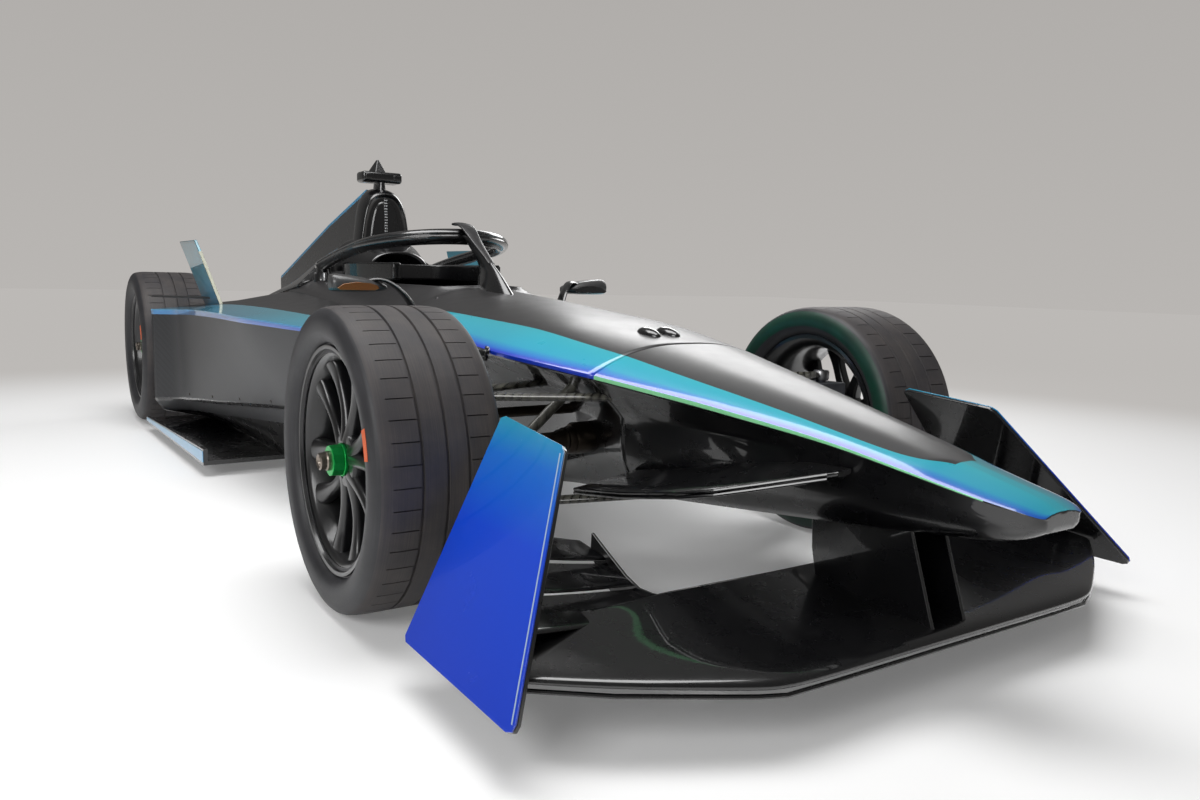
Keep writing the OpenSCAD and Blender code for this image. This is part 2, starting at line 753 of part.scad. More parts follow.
// An upright: a block with the spindle's bore, a pocket for the drive joint and two pins
module upright(axle, z) {
    half_h = ball_rise - eye_half - eye_clear;
    neck_h = ball_rise - eye_half - seat_gap;
    difference() {
        union() {
            translate([axle - 55, kingpin_y - 45, z - half_h]) cube([110, 90, 2 * half_h]);
            translate([axle, kingpin_y, z - neck_h]) cylinder(h = 2 * neck_h, r = pin_r + 6);
            translate([axle, kingpin_y, z - ball_rise - eye_half - 3])
                cylinder(h = 2 * (ball_rise + eye_half + 3), r = pin_r);
        }
        translate([axle, kingpin_y - 100, z]) rotate([-90, 0, 0]) cylinder(h = 100, r = 46);
        translate([axle, kingpin_y, z]) sphere(r = 34);
        translate([axle, kingpin_y, z]) rotate([-90, 0, 0]) cylinder(h = 100, r = spindle_bore_r);
    }
}
module knuckle(side) {
    z = front_tyre_r;
    color("#4a4b50") left_or_right(side) union() {
        upright(front_axle, z);
        for (dz = [-fork_half - fork_t, fork_half])
            translate([front_axle - steer_arm - 20, kingpin_y - 18, tie_rod_z + dz])
                cube([steer_arm - 30, 36, fork_t]);
    }
}
module rear_uprights() {
    color("#4a4b50") both_sides() upright(rear_axle, rear_tyre_r);
}

// Tyre outline: from bead to crown and back, as radius and offset from the middle
module tyre(x, side, y, r, w) {
    wall = r - rim_lip_r;
    half = [[bead_r + seat_gap, 0.40], [rim_lip_r + 3, 0.40], [rim_lip_r + 0.33 * wall, 0.49],
        [rim_lip_r + 0.6 * wall, 0.5], [r - 0.26 * wall, 0.485], [r - 0.1 * wall, 0.45],
        [r - 0.02 * wall, 0.38], [r, 0.28]];
    outline = concat([for (p = half) [p[0], p[1] * w]],
        [for (i = [len(half) - 1 : -1 : 0]) [half[i][0], -half[i][1] * w]]);
    color("#26262a") translate([x, side * y, r]) rotate([-90, 0, 0])
        rotate_extrude($fn = 96) polygon(outline);
}

// Rim barrel, split spokes, hub, spindle and nut; the outside of the wheel is +Z here
module wheel(x, side, y, r, w, dish) {
    lip_t = 7;
    half = 0.40 * w + seat_gap + lip_t;
    face = half - dish;
    spindle = kingpin_y + 28 - y;
    color("#141518") translate([x, side * y, r]) rotate([side > 0 ? -90 : 90, 0, 0]) union() {
        rotate_extrude($fn = 96) polygon([
            [rim_lip_r, half], [rim_lip_r, half - lip_t], [bead_r, half - lip_t],
            [bead_r, half - 40], [bead_r - 12, 0.1 * w], [bead_r - 12, -0.2 * w],
            [bead_r, -half + 40], [bead_r, -half + lip_t], [rim_lip_r, -half + lip_t],
            [rim_lip_r, -half], [rim_lip_r - rim_wall, -half], [bead_r - rim_wall, -half + 14],
            [bead_r - rim_wall - 12, -0.2 * w], [bead_r - rim_wall - 12, 0.1 * w],
            [bead_r - rim_wall, half - 14], [rim_lip_r - rim_wall, half]]);
        for (i = [0 : spoke_count - 1]) rotate(360 * i / spoke_count) spoke(face);
        translate([0, 0, face - 30]) cylinder(h = 30, r = hub_r);
        translate([0, 0, spindle]) cylinder(h = face - spindle, r = spindle_r);
        translate([0, 0, face]) cylinder(h = 32, r = 36);
        translate([0, 0, face + 32]) cylinder(h = 22, r = 17);
    }
}
module spoke(face) {
    reach = bead_r - rim_wall - 4;
    translate([0, 0, face - 24]) linear_extrude(20) for (a = [-11, 11]) polygon([
        [hub_r - 8, -13 + a], [hub_r - 8, 13 + a],
        [reach * cos(2 * a + 3), reach * sin(2 * a + 3)],
        [reach * cos(2 * a - 3), reach * sin(2 * a - 3)]]);
}
module front_tyre(side) {
    tyre(front_axle, side, front_wheel_y, front_tyre_r, front_tyre_w);
}
module rear_tyre(side) {
    tyre(rear_axle, side, rear_wheel_y, rear_tyre_r, rear_tyre_w);
}
module front_wheel(side) {
    wheel(front_axle, side, front_wheel_y, front_tyre_r, front_tyre_w, front_dish);
}
module rear_wheel(side) {
    wheel(rear_axle, side, rear_wheel_y, rear_tyre_r, rear_tyre_w, rear_dish);
}

tub();
nose_cone();
front_wing();
front_flaps();
endplate(-1);  // endplate_right
endplate(1);  // endplate_left
wing_pylons();
side_shelves();
floor();
diffuser();
sidepod(-1);  // sidepod_right
sidepod(1);  // sidepod_left
engine_cover();
roll_hoop();
halo();
headrest();
seat();
steering_wheel();
mirror_pod(-1);  // mirror_right
mirror_pod(1);  // mirror_left
camera_pod();
rear_fins();
winglets();
crash_structure();
rain_light();
powertrain();
front_wishbones();
front_pushrods();
tie_rods();
front_driveshafts();
rear_wishbones();
rear_driveshafts();
knuckle(-1);  // knuckle_right
knuckle(1);  // knuckle_left
rear_uprights();
front_tyre(-1);  // tyre_front_right
front_tyre(1);  // tyre_front_left
rear_tyre(-1);  // tyre_rear_right
rear_tyre(1);  // tyre_rear_left
front_wheel(-1);  // wheel_front_right
front_wheel(1);  // wheel_front_left
rear_wheel(-1);  // wheel_rear_right
rear_wheel(1);  // wheel_rear_left
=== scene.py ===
"""Looks of an open wheel racing car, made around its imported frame."""

import logging
import math
from dataclasses import dataclass, field
from enum import Enum
from typing import Callable, Sequence

import bmesh
import bpy
from bmesh.types import BMEdge, BMesh, BMFace, BMVert
from bpy.types import Material, Node, NodeOutputs, NodeSocket, NodeTree, Object
from mathutils import Matrix, Vector


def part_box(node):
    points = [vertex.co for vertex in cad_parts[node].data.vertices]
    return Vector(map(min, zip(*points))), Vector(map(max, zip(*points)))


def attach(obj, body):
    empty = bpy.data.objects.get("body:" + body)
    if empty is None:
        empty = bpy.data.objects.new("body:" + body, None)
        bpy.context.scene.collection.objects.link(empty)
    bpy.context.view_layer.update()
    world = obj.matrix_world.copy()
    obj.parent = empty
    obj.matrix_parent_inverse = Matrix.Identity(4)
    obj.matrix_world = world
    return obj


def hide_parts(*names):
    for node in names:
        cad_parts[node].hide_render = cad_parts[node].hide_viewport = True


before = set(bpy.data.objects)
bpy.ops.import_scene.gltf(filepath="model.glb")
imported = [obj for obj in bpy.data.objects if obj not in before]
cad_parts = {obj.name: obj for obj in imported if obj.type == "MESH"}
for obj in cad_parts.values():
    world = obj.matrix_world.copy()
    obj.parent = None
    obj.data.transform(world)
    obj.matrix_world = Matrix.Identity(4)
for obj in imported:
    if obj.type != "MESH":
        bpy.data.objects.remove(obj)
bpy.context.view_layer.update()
LOG = logging.getLogger("racing_car")
MM = 0.001
CHASSIS = "chassis"
# Two vertices nearer than this are one
MERGE_GAP = 1e-5
# Edges creased this much or more are shaded sharp
SHARP_CREASE = 0.85
# Grey of the studio wall at the horizon
WALL_GREY = "#b9b6b3"
Point = Sequence[float]
Row = Sequence[float]


# ---------------------------------------------------------------- layout


@dataclass(frozen=True)
class Layout:
    """Places that several pieces share, read from the frame."""

    front_axle: Vector
    rear_axle: Vector

    @classmethod
    def from_frame(cls) -> "Layout":
        """Read the axles from the tyres.

        Returns:
            The shared places, in metres.
        """
        front_low, front_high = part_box("tyre_front_left")
        rear_low, rear_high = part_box("tyre_rear_left")
        return cls(front_axle=(front_low + front_high) / 2, rear_axle=(rear_low + rear_high) / 2)


LAYOUT = Layout.from_frame()
FRONT = LAYOUT.front_axle.x
REAR = LAYOUT.rear_axle.x


class Side(Enum):
    """The two sides of the car, with the sign of Y."""

    LEFT = 1
    RIGHT = -1

    @property
    def word(self) -> str:
        """The side's name in piece names."""
        return self.name.lower()


def lookup(rows: Sequence[Row], x: float) -> list[float]:
    """Interpolate a table of rows along the car.

    Args:
        rows: Rows that start with x, from front to back.
        x: Place along the car.

    Returns:
        The row at x.
    """
    if x >= rows[0][0]:
        return [x, *rows[0][1:]]
    for ahead, behind in zip(rows, rows[1:]):
        if x >= behind[0]:
            share = (ahead[0] - x) / (ahead[0] - behind[0])
            return [x, *[a + share * (b - a) for a, b in zip(ahead[1:], behind[1:])]]
    return [x, *rows[-1][1:]]


# ---------------------------------------------------------------- finishes


def linear(code: str) -> tuple[float, float, float, float]:
    """Turn an sRGB hex colour into a linear one.

    Args:
        code: Six hex digits with a leading hash.

    Returns:
        Linear red, green, blue and an alpha of 1.
    """
    parts = [int(code[i : i + 2], 16) / 255 for i in (1, 3, 5)]
    return (*[p / 12.92 if p <= 0.04045 else ((p + 0.055) / 1.055) ** 2.4 for p in parts], 1.0)


def per_metre(size_mm: float) -> float:
    """Give the texture scale that repeats once in a size."""
    return 1000.0 / size_mm


def add_node(tree: NodeTree, kind: str, links: dict | None = None, **settings) -> Node:
    """Add one shader node with its settings and links.

    Args:
        tree: Node tree that takes the node.
        kind: Node type, without its ShaderNode prefix.
        links: Sockets or values by input name or number.
        settings: Properties of the node itself.

    Returns:
        The new node.
    """
    node = tree.nodes.new("ShaderNode" + kind)
    for name, value in settings.items():
        setattr(node, name, value)
    for name, value in (links or {}).items():
        if isinstance(value, NodeSocket):
            tree.links.new(value, node.inputs[name])
        else:
            node.inputs[name].default_value = value
    return node


def calc(tree: NodeTree, operation: str, *values: NodeSocket | float) -> NodeSocket:
    """Add one maths node.

    Args:
        tree: Node tree that takes the node.
        operation: What it works out.
        values: One or two sockets or numbers.

    Returns:
        The result.
    """
    return add_node(tree, "Math", dict(enumerate(values)), operation=operation).outputs[0]


def remap(tree: NodeTree, value: NodeSocket, start: float = 0.0, end: float = 1.0, low: float = 0.0,
          high: float = 1.0) -> NodeSocket:
    """Carry a value from one range into another.

    Args:
        tree: Node tree that takes the node.
        value: Value from start to end.
        start: Value that becomes low.
        end: Value that becomes high.
        low: Result at the start.
        high: Result at the end.

    Returns:
        The result.
    """
    links = {"Value": value, "From Min": start, "From Max": end, "To Min": low, "To Max": high}
    return add_node(tree, "MapRange", links).outputs["Result"]


def split(tree: NodeTree, vector: NodeSocket) -> NodeOutputs:
    """Give the three parts of a vector."""
    return add_node(tree, "SeparateXYZ", {"Vector": vector}).outputs


def ripple(tree: NodeTree, value: NodeSocket, size_mm: float) -> NodeSocket:
    """Give a sine that repeats once in a size."""
    return calc(tree, "SINE", calc(tree, "MULTIPLY", value, per_metre(size_mm) * math.tau))


def blend(tree: NodeTree, share: NodeSocket, one: NodeSocket | Point, other: NodeSocket | Point) -> NodeSocket:
    """Mix two colours by a share."""
    return add_node(tree, "Mix", {0: share, 6: one, 7: other}, data_type="RGBA").outputs[2]


def section_map(tree: NodeTree) -> NodeSocket:
    """Give the map that the lofts carry."""
    return add_node(tree, "UVMap", uv_map="Section").outputs["UV"]


def ramp(tree: NodeTree, factor: NodeSocket, stops: Sequence[tuple[float, str]]) -> NodeSocket:
    """Turn a value into a colour through named stops.

    Args:
        tree: Node tree that takes the ramp.
        factor: Value from 0 to 1.
        stops: Place and hex colour of each stop.

    Returns:
        The colour socket.
    """
    node = add_node(tree, "ValToRGB", {"Fac": factor})
    while len(node.color_ramp.elements) < len(stops):
        node.color_ramp.elements.new(0.5)
    for element, (place, code) in zip(node.color_ramp.elements, stops):
        element.position = place
        element.color = linear(code)
    return node.outputs["Color"]


@dataclass(frozen=True)
class Finish:
    """A procedural finish; each kind adds its own nodes."""

    name: str
    colour: str
    roughness: float = 0.4
    metallic: float = 0.0
    coat: float = 0.0
    coat_roughness: float = 0.03
    least_roughness: float = 0.02

    def material(self) -> Material:
        """Build the material once and return it.

        Returns:
            The node material.
        """
        made = bpy.data.materials.get(self.name)
        if made:
            return made
        made = bpy.data.materials.new(self.name)
        made.use_nodes = True
        tree = made.node_tree
        shader = tree.nodes["Principled BSDF"]
        for name, value in (("Base Color", linear(self.colour)), ("Roughness", self.roughness),
                            ("Metallic", self.metallic), ("Coat Weight", self.coat),
                            ("Coat Roughness", self.coat_roughness)):
            shader.inputs[name].default_value = value
        self.dress(tree, shader)
        return made

    def dress(self, tree: NodeTree, shader: Node) -> None:
        """Add the nodes of this kind of finish.

        Args:
            tree: The material's nodes.
            shader: Its Principled BSDF.
        """
        raise NotImplementedError

    def place(self, tree: NodeTree) -> NodeSocket:
        """Give the object coordinates, in metres."""
        return add_node(tree, "TexCoord").outputs["Object"]

    def noise(self, tree: NodeTree, size_mm: float, detail: float = 2.0) -> NodeSocket:
        """Add noise of a real grain size.

        Args:
            tree: The material's nodes.
            size_mm: Size of one grain.
            detail: Octaves of finer grain.

        Returns:
            The noise value.
        """
        links = {"Vector": self.place(tree), "Scale": per_metre(size_mm), "Detail": detail}
        return add_node(tree, "TexNoise", links).outputs["Fac"]

    def vary(self, tree: NodeTree, shader: Node, value: NodeSocket, spread: float) -> None:
        """Let the roughness follow a value around its middle.

        Args:
            tree: The material's nodes.
            shader: The shader whose roughness varies.
            value: Value from 0 to 1.
            spread: How far the roughness moves in all.
        """
        low, high = self.roughness - spread / 2, self.roughness + spread / 2
        moved = remap(tree, value, low=max(self.least_roughness, low), high=high)
        tree.links.new(moved, shader.inputs["Roughness"])

    def bump(self, tree: NodeTree, shader: Node, height: NodeSocket, depth_mm: float,
             onto_coat: bool = False) -> None:
        """Raise the surface by a height value.

        Args:
            tree: The material's nodes.
            shader: The shader that takes the normal.
            height: Value from 0 to 1.
            depth_mm: Height of a full step.
            onto_coat: Whether the clear coat follows it too.
        """
        links = {"Height": height, "Strength": 1.0, "Distance": depth_mm * MM}
        normal = add_node(tree, "Bump", links).outputs["Normal"]
        tree.links.new(normal, shader.inputs["Normal"])
        if onto_coat:
            tree.links.new(normal, shader.inputs["Coat Normal"])


@dataclass(frozen=True)
class Lacquer(Finish):
    """Sprayed lacquer: the faint flow of the spray shows in its reflections, with settled dust."""

    flow_mm: float = 9.0
    flow_depth_mm: float = 0.012
    dust_mm: float = 60.0
    dust_spread: float = 0.12

    def dress(self, tree: NodeTree, shader: Node) -> None:
        """Add the spray flow and the dust."""
        self.vary(tree, shader, self.noise(tree, self.dust_mm, 6.0), self.dust_spread)
        self.bump(tree, shader, self.noise(tree, self.flow_mm), self.flow_depth_mm, True)


@dataclass(frozen=True)
class FadeLacquer(Lacquer):
    """Two colours sprayed into each other across a stripe, read from the stripe's own map."""

    across: tuple[tuple[float, str], ...] = ()
    along: tuple[tuple[float, str], ...] = ()
    along_from: float = 0.0
    along_to: float = 1.0
    along_share: tuple[tuple[float, str], ...] = ()

    def dress(self, tree: NodeTree, shader: Node) -> None:
        """Mix the fade across the stripe with the one along the car."""
        Lacquer.dress(self, tree, shader)
        parts = split(tree, section_map(tree))
        run = remap(tree, parts["Y"], self.along_from, self.along_to)
        share = ramp(tree, run, self.along_share)
        colour = blend(tree, share, ramp(tree, parts["X"], self.across), ramp(tree, run, self.along))
        tree.links.new(colour, shader.inputs["Base Color"])


@dataclass(frozen=True)
class HeightFade(Lacquer):
    """Lacquer whose colour changes with the height above the ground."""

    low: float = 0.0
    high: float = 1.0
    stops: tuple[tuple[float, str], ...] = ()

    def dress(self, tree: NodeTree, shader: Node) -> None:
        """Fade the colour from the bottom to the top."""
        Lacquer.dress(self, tree, shader)
        share = remap(tree, split(tree, self.place(tree))["Z"], self.low, self.high)
        tree.links.new(ramp(tree, share, self.stops), shader.inputs["Base Color"])


class Cloth(Enum):
    """The plane that a woven skin lies in, as the two axes its tows follow."""

    SIDE = ("X", "Z")
    TOP = ("X", "Y")
    FACE = ("Y", "Z")


@dataclass(frozen=True)
class Twill(Finish):
    """Carbon twill under resin: steps of lighter and darker tows, in broad bands of the lay-up."""

    light: str = "#3a3b3e"
    tow_mm: float = 4.0
    band_mm: float = 30.0
    tow_depth_mm: float = 0.05
    lie: Cloth = Cloth.SIDE

    def dress(self, tree: NodeTree, shader: Node) -> None:
        """Add the 2 by 2 steps of the weave and its bands."""
        parts = split(tree, self.place(tree))
        axes = [parts[axis] for axis in self.lie.value]
        cells = [calc(tree, "FLOOR", calc(tree, "MULTIPLY", axis, per_metre(self.tow_mm))) for axis in axes]
        over = calc(tree, "LESS_THAN", calc(tree, "FLOORED_MODULO", calc(tree, "ADD", *cells), 4.0), 2.0)
        swing = ripple(tree, calc(tree, "ADD", *axes), self.band_mm)
        band = remap(tree, swing, -1.0, 1.0, 0.25, 0.75)
        total = calc(tree, "ADD", band, calc(tree, "MULTIPLY", band, over))
        colour = ramp(tree, total, ((0.0, self.colour), (1.0, self.light)))
        tree.links.new(colour, shader.inputs["Base Color"])
        self.vary(tree, shader, total, 0.16)
        self.bump(tree, shader, over, self.tow_depth_mm)


@dataclass(frozen=True)
class Moulded(Finish):
    """A moulded or cast part: fine even grain with soft patches of wear."""

    grain_mm: float = 1.2
    grain_depth_mm: float = 0.04
    shade: str = "#000000"
    shade_share: float = 0.25
    patch_mm: float = 45.0

    def dress(self, tree: NodeTree, shader: Node) -> None:
        """Add the grain and the patches."""
        patches = self.noise(tree, self.patch_mm, 5.0)
        worn = remap(tree, patches, 0.35, 0.7, 0.0, self.shade_share)
        colour = blend(tree, worn, linear(self.colour), linear(self.shade))
        tree.links.new(colour, shader.inputs["Base Color"])
        self.vary(tree, shader, patches, 0.14)
        self.bump(tree, shader, self.noise(tree, self.grain_mm), self.grain_depth_mm)


@dataclass(frozen=True)
class Turned(Finish):
    """Metal turned on a lathe: fine rings round the Y axis catch the light."""

    ring_mm: float = 1.4
    ring_depth_mm: float = 0.006

    def dress(self, tree: NodeTree, shader: Node) -> None:
        """Add rings along the axle."""
        rings = ripple(tree, split(tree, self.place(tree))["Y"], self.ring_mm)
        self.vary(tree, shader, self.noise(tree, 6.0, 4.0), 0.12)
        self.bump(tree, shader, rings, self.ring_depth_mm)


@dataclass(frozen=True)
class TyreRubber(Finish):
    """Vulcanised rubber: matt, slightly brown where it has run, with fine scuffs round the tyre."""

    worn: str = "#4b4644"
    patch_mm: float = 70.0
    grain_mm: float = 1.6
    grain_depth_mm: float = 0.12

    def dress(self, tree: NodeTree, shader: Node) -> None:
        """Add scuffs that run round the tyre."""
        stretch = add_node(tree, "Mapping", {"Vector": section_map(tree), "Scale": (6.0, 420.0, 1.0)})
        links = {"Vector": stretch.outputs[0], "Scale": 1.0, "Detail": 3.0}
        scuff = add_node(tree, "TexNoise", links).outputs["Fac"]
        worn = calc(tree, "MULTIPLY", scuff, self.noise(tree, self.patch_mm, 4.0))
        colour = ramp(tree, worn, ((0.12, self.colour), (0.42, self.worn)))
        tree.links.new(colour, shader.inputs["Base Color"])
        self.vary(tree, shader, scuff, 0.18)
        self.bump(tree, shader, calc(tree, "ADD", self.noise(tree, self.grain_mm), scuff), self.grain_depth_mm)


@dataclass(frozen=True)
class Lens(Finish):
    """A moulded clear lens: fine prism ribs behind a smooth face."""

    rib_mm: float = 5.0
    rib_depth_mm: float = 0.3

    def dress(self, tree: NodeTree, shader: Node) -> None:
        """Add the prism ribs."""
        ribs = ripple(tree, split(tree, self.place(tree))["Z"], self.rib_mm)
        self.vary(tree, shader, self.noise(tree, 20.0), 0.05)
        self.bump(tree, shader, ribs, self.rib_depth_mm)


@dataclass(frozen=True)
class StudioFloor(Finish):
    """Painted studio floor: white near the car, falling to the grey of the wall behind."""

    wall: str = WALL_GREY
    shadow: str = "#050505"
    lift: float = 0.16
    middle: tuple[float, float, float] = (1.2, -0.6, 0.0)
    near: float = 2.6
    far: float = 5.6

    def dress(self, tree: NodeTree, shader: Node) -> None:
        """Fade the paint with the distance and lift what the camera sees."""
        links = {0: self.place(tree), 1: self.middle}
        offset = add_node(tree, "VectorMath", links, operation="SUBTRACT").outputs[0]
        apart = add_node(tree, "VectorMath", {0: offset}, operation="LENGTH").outputs["Value"]
        links = {"Value": apart, "From Min": self.near, "From Max": self.far}
        far = add_node(tree, "MapRange", links, interpolation_type="SMOOTHSTEP").outputs["Result"]
        for name, end in (("Base Color", self.shadow), ("Emission Color", self.wall)):
            tree.links.new(ramp(tree, far, ((0.0, self.colour), (1.0, end))), shader.inputs[name])
        path = add_node(tree, "LightPath").outputs
        seen = calc(tree, "MAXIMUM", path["Is Camera Ray"], path["Is Glossy Ray"])
        seen = calc(tree, "MAXIMUM", seen, path["Is Transmission Ray"])
        glow = remap(tree, far, low=self.lift)
        tree.links.new(calc(tree, "MULTIPLY", seen, glow), shader.inputs["Emission Strength"])


# Gloss lacquer over carbon: nearly black, so that only reflections show the shape
GLOSS_BLACK = Lacquer("gloss_lacquered_carbon", "#08080a", 0.28, coat=1.0)
# Satin lacquer over carbon: spreads the overhead light into a soft grey
SATIN_BLACK = Lacquer("satin_lacquered_carbon", "#232223", 0.42, coat=0.35, coat_roughness=0.25,
                      flow_depth_mm=0.008)
# Fade from teal to deep blue towards the edge line, sprayed under clear lacquer
BAND = FadeLacquer(
    "teal_fade_lacquer", "#22a9c0", 0.3, coat=1.0,
    across=((0.0, "#2ab6c2"), (0.68, "#25a9c8"), (0.87, "#1a7ad0"), (0.96, "#0b38c6")),
    along=((0.0, "#5a9ec6"), (1.0, "#1f7d9c")),
    along_share=((0.0, "#e0e0e0"), (0.42, "#909090"), (0.55, "#000000"), (0.9, "#000000"), (1.0, "#a8a8a8")),
    along_from=REAR + 0.6, along_to=FRONT + 1.13)
# Thin lime line sprayed along the edge
LIME = Lacquer("lime_line_lacquer", "#9af2b2", 0.3, coat=0.6)
# Blue lacquer of the endplates, turning teal towards their tops
ENDPLATE_BLUE = HeightFade("blue_gloss_lacquer", "#0646c8", 0.25, coat=1.0, low=0.08, high=0.46,
                           stops=((0.0, "#0a38bc"), (0.55, "#0a42c8"), (0.84, "#1266c4"), (1.0, "#2391ae")))
# Painted highlight: a pale strip laid on the endplate's front edge where it catches the light
PALE_EDGE_HIGHLIGHT = Lacquer("pale_edge_lacquer", "#9fb4c8", 0.3, coat=0.6)
# Light blue edge lacquer
SKY_EDGE = Lacquer("sky_blue_lacquer", "#3f9fd0", 0.3, coat=0.8)
# Satin twill of the side panels: coarse bands of the lay-up show
SIDE_TWILL = Twill("satin_carbon_twill", "#1d1e20", 0.45, light="#333437", coat=0.2, coat_roughness=0.3)
# Twill of the suspension arms: tight tows under clear resin
ARM_TWILL = Twill("arm_carbon_twill", "#0d0d0e", 0.3, light="#5b5a52", tow_mm=6.0, band_mm=26.0,
                  lie=Cloth.TOP, coat=0.6)
# Magnesium wheels, cast and sprayed black
WHEEL_BLACK = Lacquer("black_sprayed_magnesium", "#0e0e10", 0.34, coat=0.5, coat_roughness=0.12)
# Green anodised aluminium of the wheel nuts
NUT_GREEN = Turned("green_anodised_aluminium", "#1cb254", 0.34, 0.75)
# Bare turned steel of the spindles
SPINDLE_STEEL = Turned("turned_spindle_steel", "#8e857c", 0.35, 1.0)
# Machined aluminium of small fittings
FITTING = Turned("machined_aluminium", "#b4b6ba", 0.32, 1.0)
# Dark oxide on steel rods and shafts
DARK_STEEL = Moulded("blackened_steel", "#3a332c", 0.38, 0.9, grain_mm=2.0, shade="#15120f")
# Cast housings, blasted and left grey
CAST = Moulded("cast_aluminium_housing", "#6d7076", 0.55, 0.7, grain_mm=2.5, grain_depth_mm=0.08, shade="#3c3e42")
# Running rubber of the tread and the softer black of the sidewall
TREAD = TyreRubber("running_tread_rubber", "#343235", 0.62)
WALL = TyreRubber("moulded_sidewall_rubber", "#232326", 0.5, worn="#343437")
# Orange rubber paint of the small bar on the sidewall
ORANGE = Moulded("orange_rubber_paint", "#e2632c", 0.55, grain_depth_mm=0.02, shade="#a9461e")
# Painted green reflection: a dark green sheen painted into the inner sidewall of the front tyres
GREEN_REFLECTION_PAINT = Moulded("green_rubber_paint", "#0c3a2c", 0.45, grain_depth_mm=0.02, shade="#0a1f1a", shade_share=0.6)
# Painted reflection: the right mirror glass is painted a dark gold for the reflection seen in it
AMBER_REFLECTION = Lacquer("amber_coated_glass", "#8a5526", 0.12, 0.6, coat=1.0, flow_depth_mm=0.002)
# Satin shell of the mirrors
MIRROR_SHELL = Lacquer("mirror_satin_shell", "#3c3b3b", 0.38, coat=0.4, coat_roughness=0.2)
# Soft grip of the steering wheel and the seat shell
GRIP = Moulded("moulded_grip_rubber", "#1c1c1e", 0.75, grain_mm=1.8, grain_depth_mm=0.15, shade="#2c2c2e")
SEAT_SHELL = Twill("seat_carbon_twill", "#1a1a1c", 0.5, light="#333436", lie=Cloth.FACE)
# Clear red lens of the rain light
RED_LENS = Lens("red_moulded_lens", "#8c0c10", 0.15, coat=1.0)
# White paint dots of the sensor strips
WHITE_PAINT = Moulded("white_marking_paint", "#d6d8da", 0.5, grain_depth_mm=0.01, shade="#a8aaac")
# Teal of the rear fins, darker towards their tops
FIN_TEAL = HeightFade("teal_fin_lacquer", "#3f9fb8", 0.32, coat=1.0, low=0.58, high=0.85,
                      stops=((0.0, "#3f8fb4"), (0.45, "#46a3ba"), (0.8, "#3a8fa4"), (1.0, "#2c6f80")))
# Cream edge of the rear fins
CREAM = Lacquer("cream_edge_lacquer", "#8f9078", 0.4, coat=0.4)


# ---------------------------------------------------------------- mesh tools


def face_through(bm: BMesh, points: Sequence[Point]) -> BMFace:
    """Make one face through corner points.

    Args:
        bm: Mesh that takes the face.
        points: The corners in order.

    Returns:
        The new face.
    """
    verts = [bm.verts.new(p) for p in points]
    edges = [bm.edges.new(pair) for pair in zip(verts, verts[1:] + verts[:1])]
    made = bmesh.ops.contextual_create(bm, geom=edges)
    return made["faces"][0]


def prism(bm: BMesh, points: Sequence[Point], offset: Point) -> None:
    """Push an outline out into a solid plate.

    Args:
        bm: Mesh that takes the plate.
        points: Corners of one face.
        offset: The way and the distance it is pushed.
    """
    base = face_through(bm, points)
    grown = bmesh.ops.extrude_face_region(bm, geom=[base])["geom"]
    verts = [g for g in grown if isinstance(g, BMVert)]
    bmesh.ops.translate(bm, verts=verts, vec=Vector(offset))
    if not base.is_valid:
        face_through(bm, points)


def tidy(bm: BMesh, gap: float = MERGE_GAP) -> None:
    """Merge doubles and turn every face outwards.

    Args:
        bm: The mesh.
        gap: Distance under which two vertices are one.
    """
    bmesh.ops.remove_doubles(bm, verts=bm.verts[:], dist=gap)
    bmesh.ops.recalc_face_normals(bm, faces=bm.faces[:])


def plate(points: Sequence[Point], offset: Point) -> BMesh:
    """Give a new mesh that holds one plate."""
    bm = bmesh.new()
    prism(bm, points, offset)
    tidy(bm)
    return bm


def leaning_plate(turn: Matrix, side: "Side", corners: Sequence[tuple[float, float]], inner: float,
                  outer: float) -> BMesh:
    """Give a plate that stands in a leaning plane.

    Args:
        turn: Place and lean of the plane on the left side.
        side: Side of the car.
        corners: Outline in the plane, along it and up it.
        inner: Offset of the plate's first face from the plane.
        outer: Offset of its other face.

    Returns:
        The plate in a new mesh.
    """
    flip = Vector((1.0, side.value, 1.0))
    push = (turn.to_3x3() @ Vector((0.0, outer - inner, 0.0))) * flip
    return plate([(turn @ Vector((x, inner, z))) * flip for x, z in corners], push)


def both(bm: BMesh, merge: float = -1.0) -> BMesh:
    """Copy a mesh to the other side.

    Args:
        bm: Mesh of one side, which takes the copy.
        merge: Distance under which the copy is joined on, or -1 for never.

    Returns:
        The same mesh.
    """
    bmesh.ops.mirror(bm, geom=bm.verts[:] + bm.edges[:] + bm.faces[:], axis="Y", merge_dist=merge)
    bmesh.ops.recalc_face_normals(bm, faces=bm.faces[:])
    return bm


def join(bm: BMesh, made: BMesh) -> None:
    """Move the content of a second mesh into the first."""
    mesh = bpy.data.meshes.new("joined")
    made.to_mesh(mesh)
    made.free()
    bm.from_mesh(mesh)
    bpy.data.meshes.remove(mesh)


def box(bm: BMesh, low: Point, high: Point, bevel: float, segments: int = 3) -> None:
    """Add a box with rounded edges.

    Args:
        bm: Mesh that takes the box.
        low: Lowest corner.
        high: Highest corner.
        bevel: Radius of its edges.
        segments: Steps of each rounded edge.
    """
    low, high = Vector(low), Vector(high)
    size = Matrix.Diagonal((*(high - low), 1.0))
    made = bmesh.ops.create_cube(bm, size=1.0, matrix=Matrix.Translation((low + high) / 2) @ size)
    edges = list({e for v in made["verts"] for e in v.link_edges})
    bmesh.ops.bevel(bm, geom=edges, offset=bevel, offset_type="OFFSET", affect="EDGES", segments=segments,
                    profile=0.5, material=-1, clamp_overlap=True)


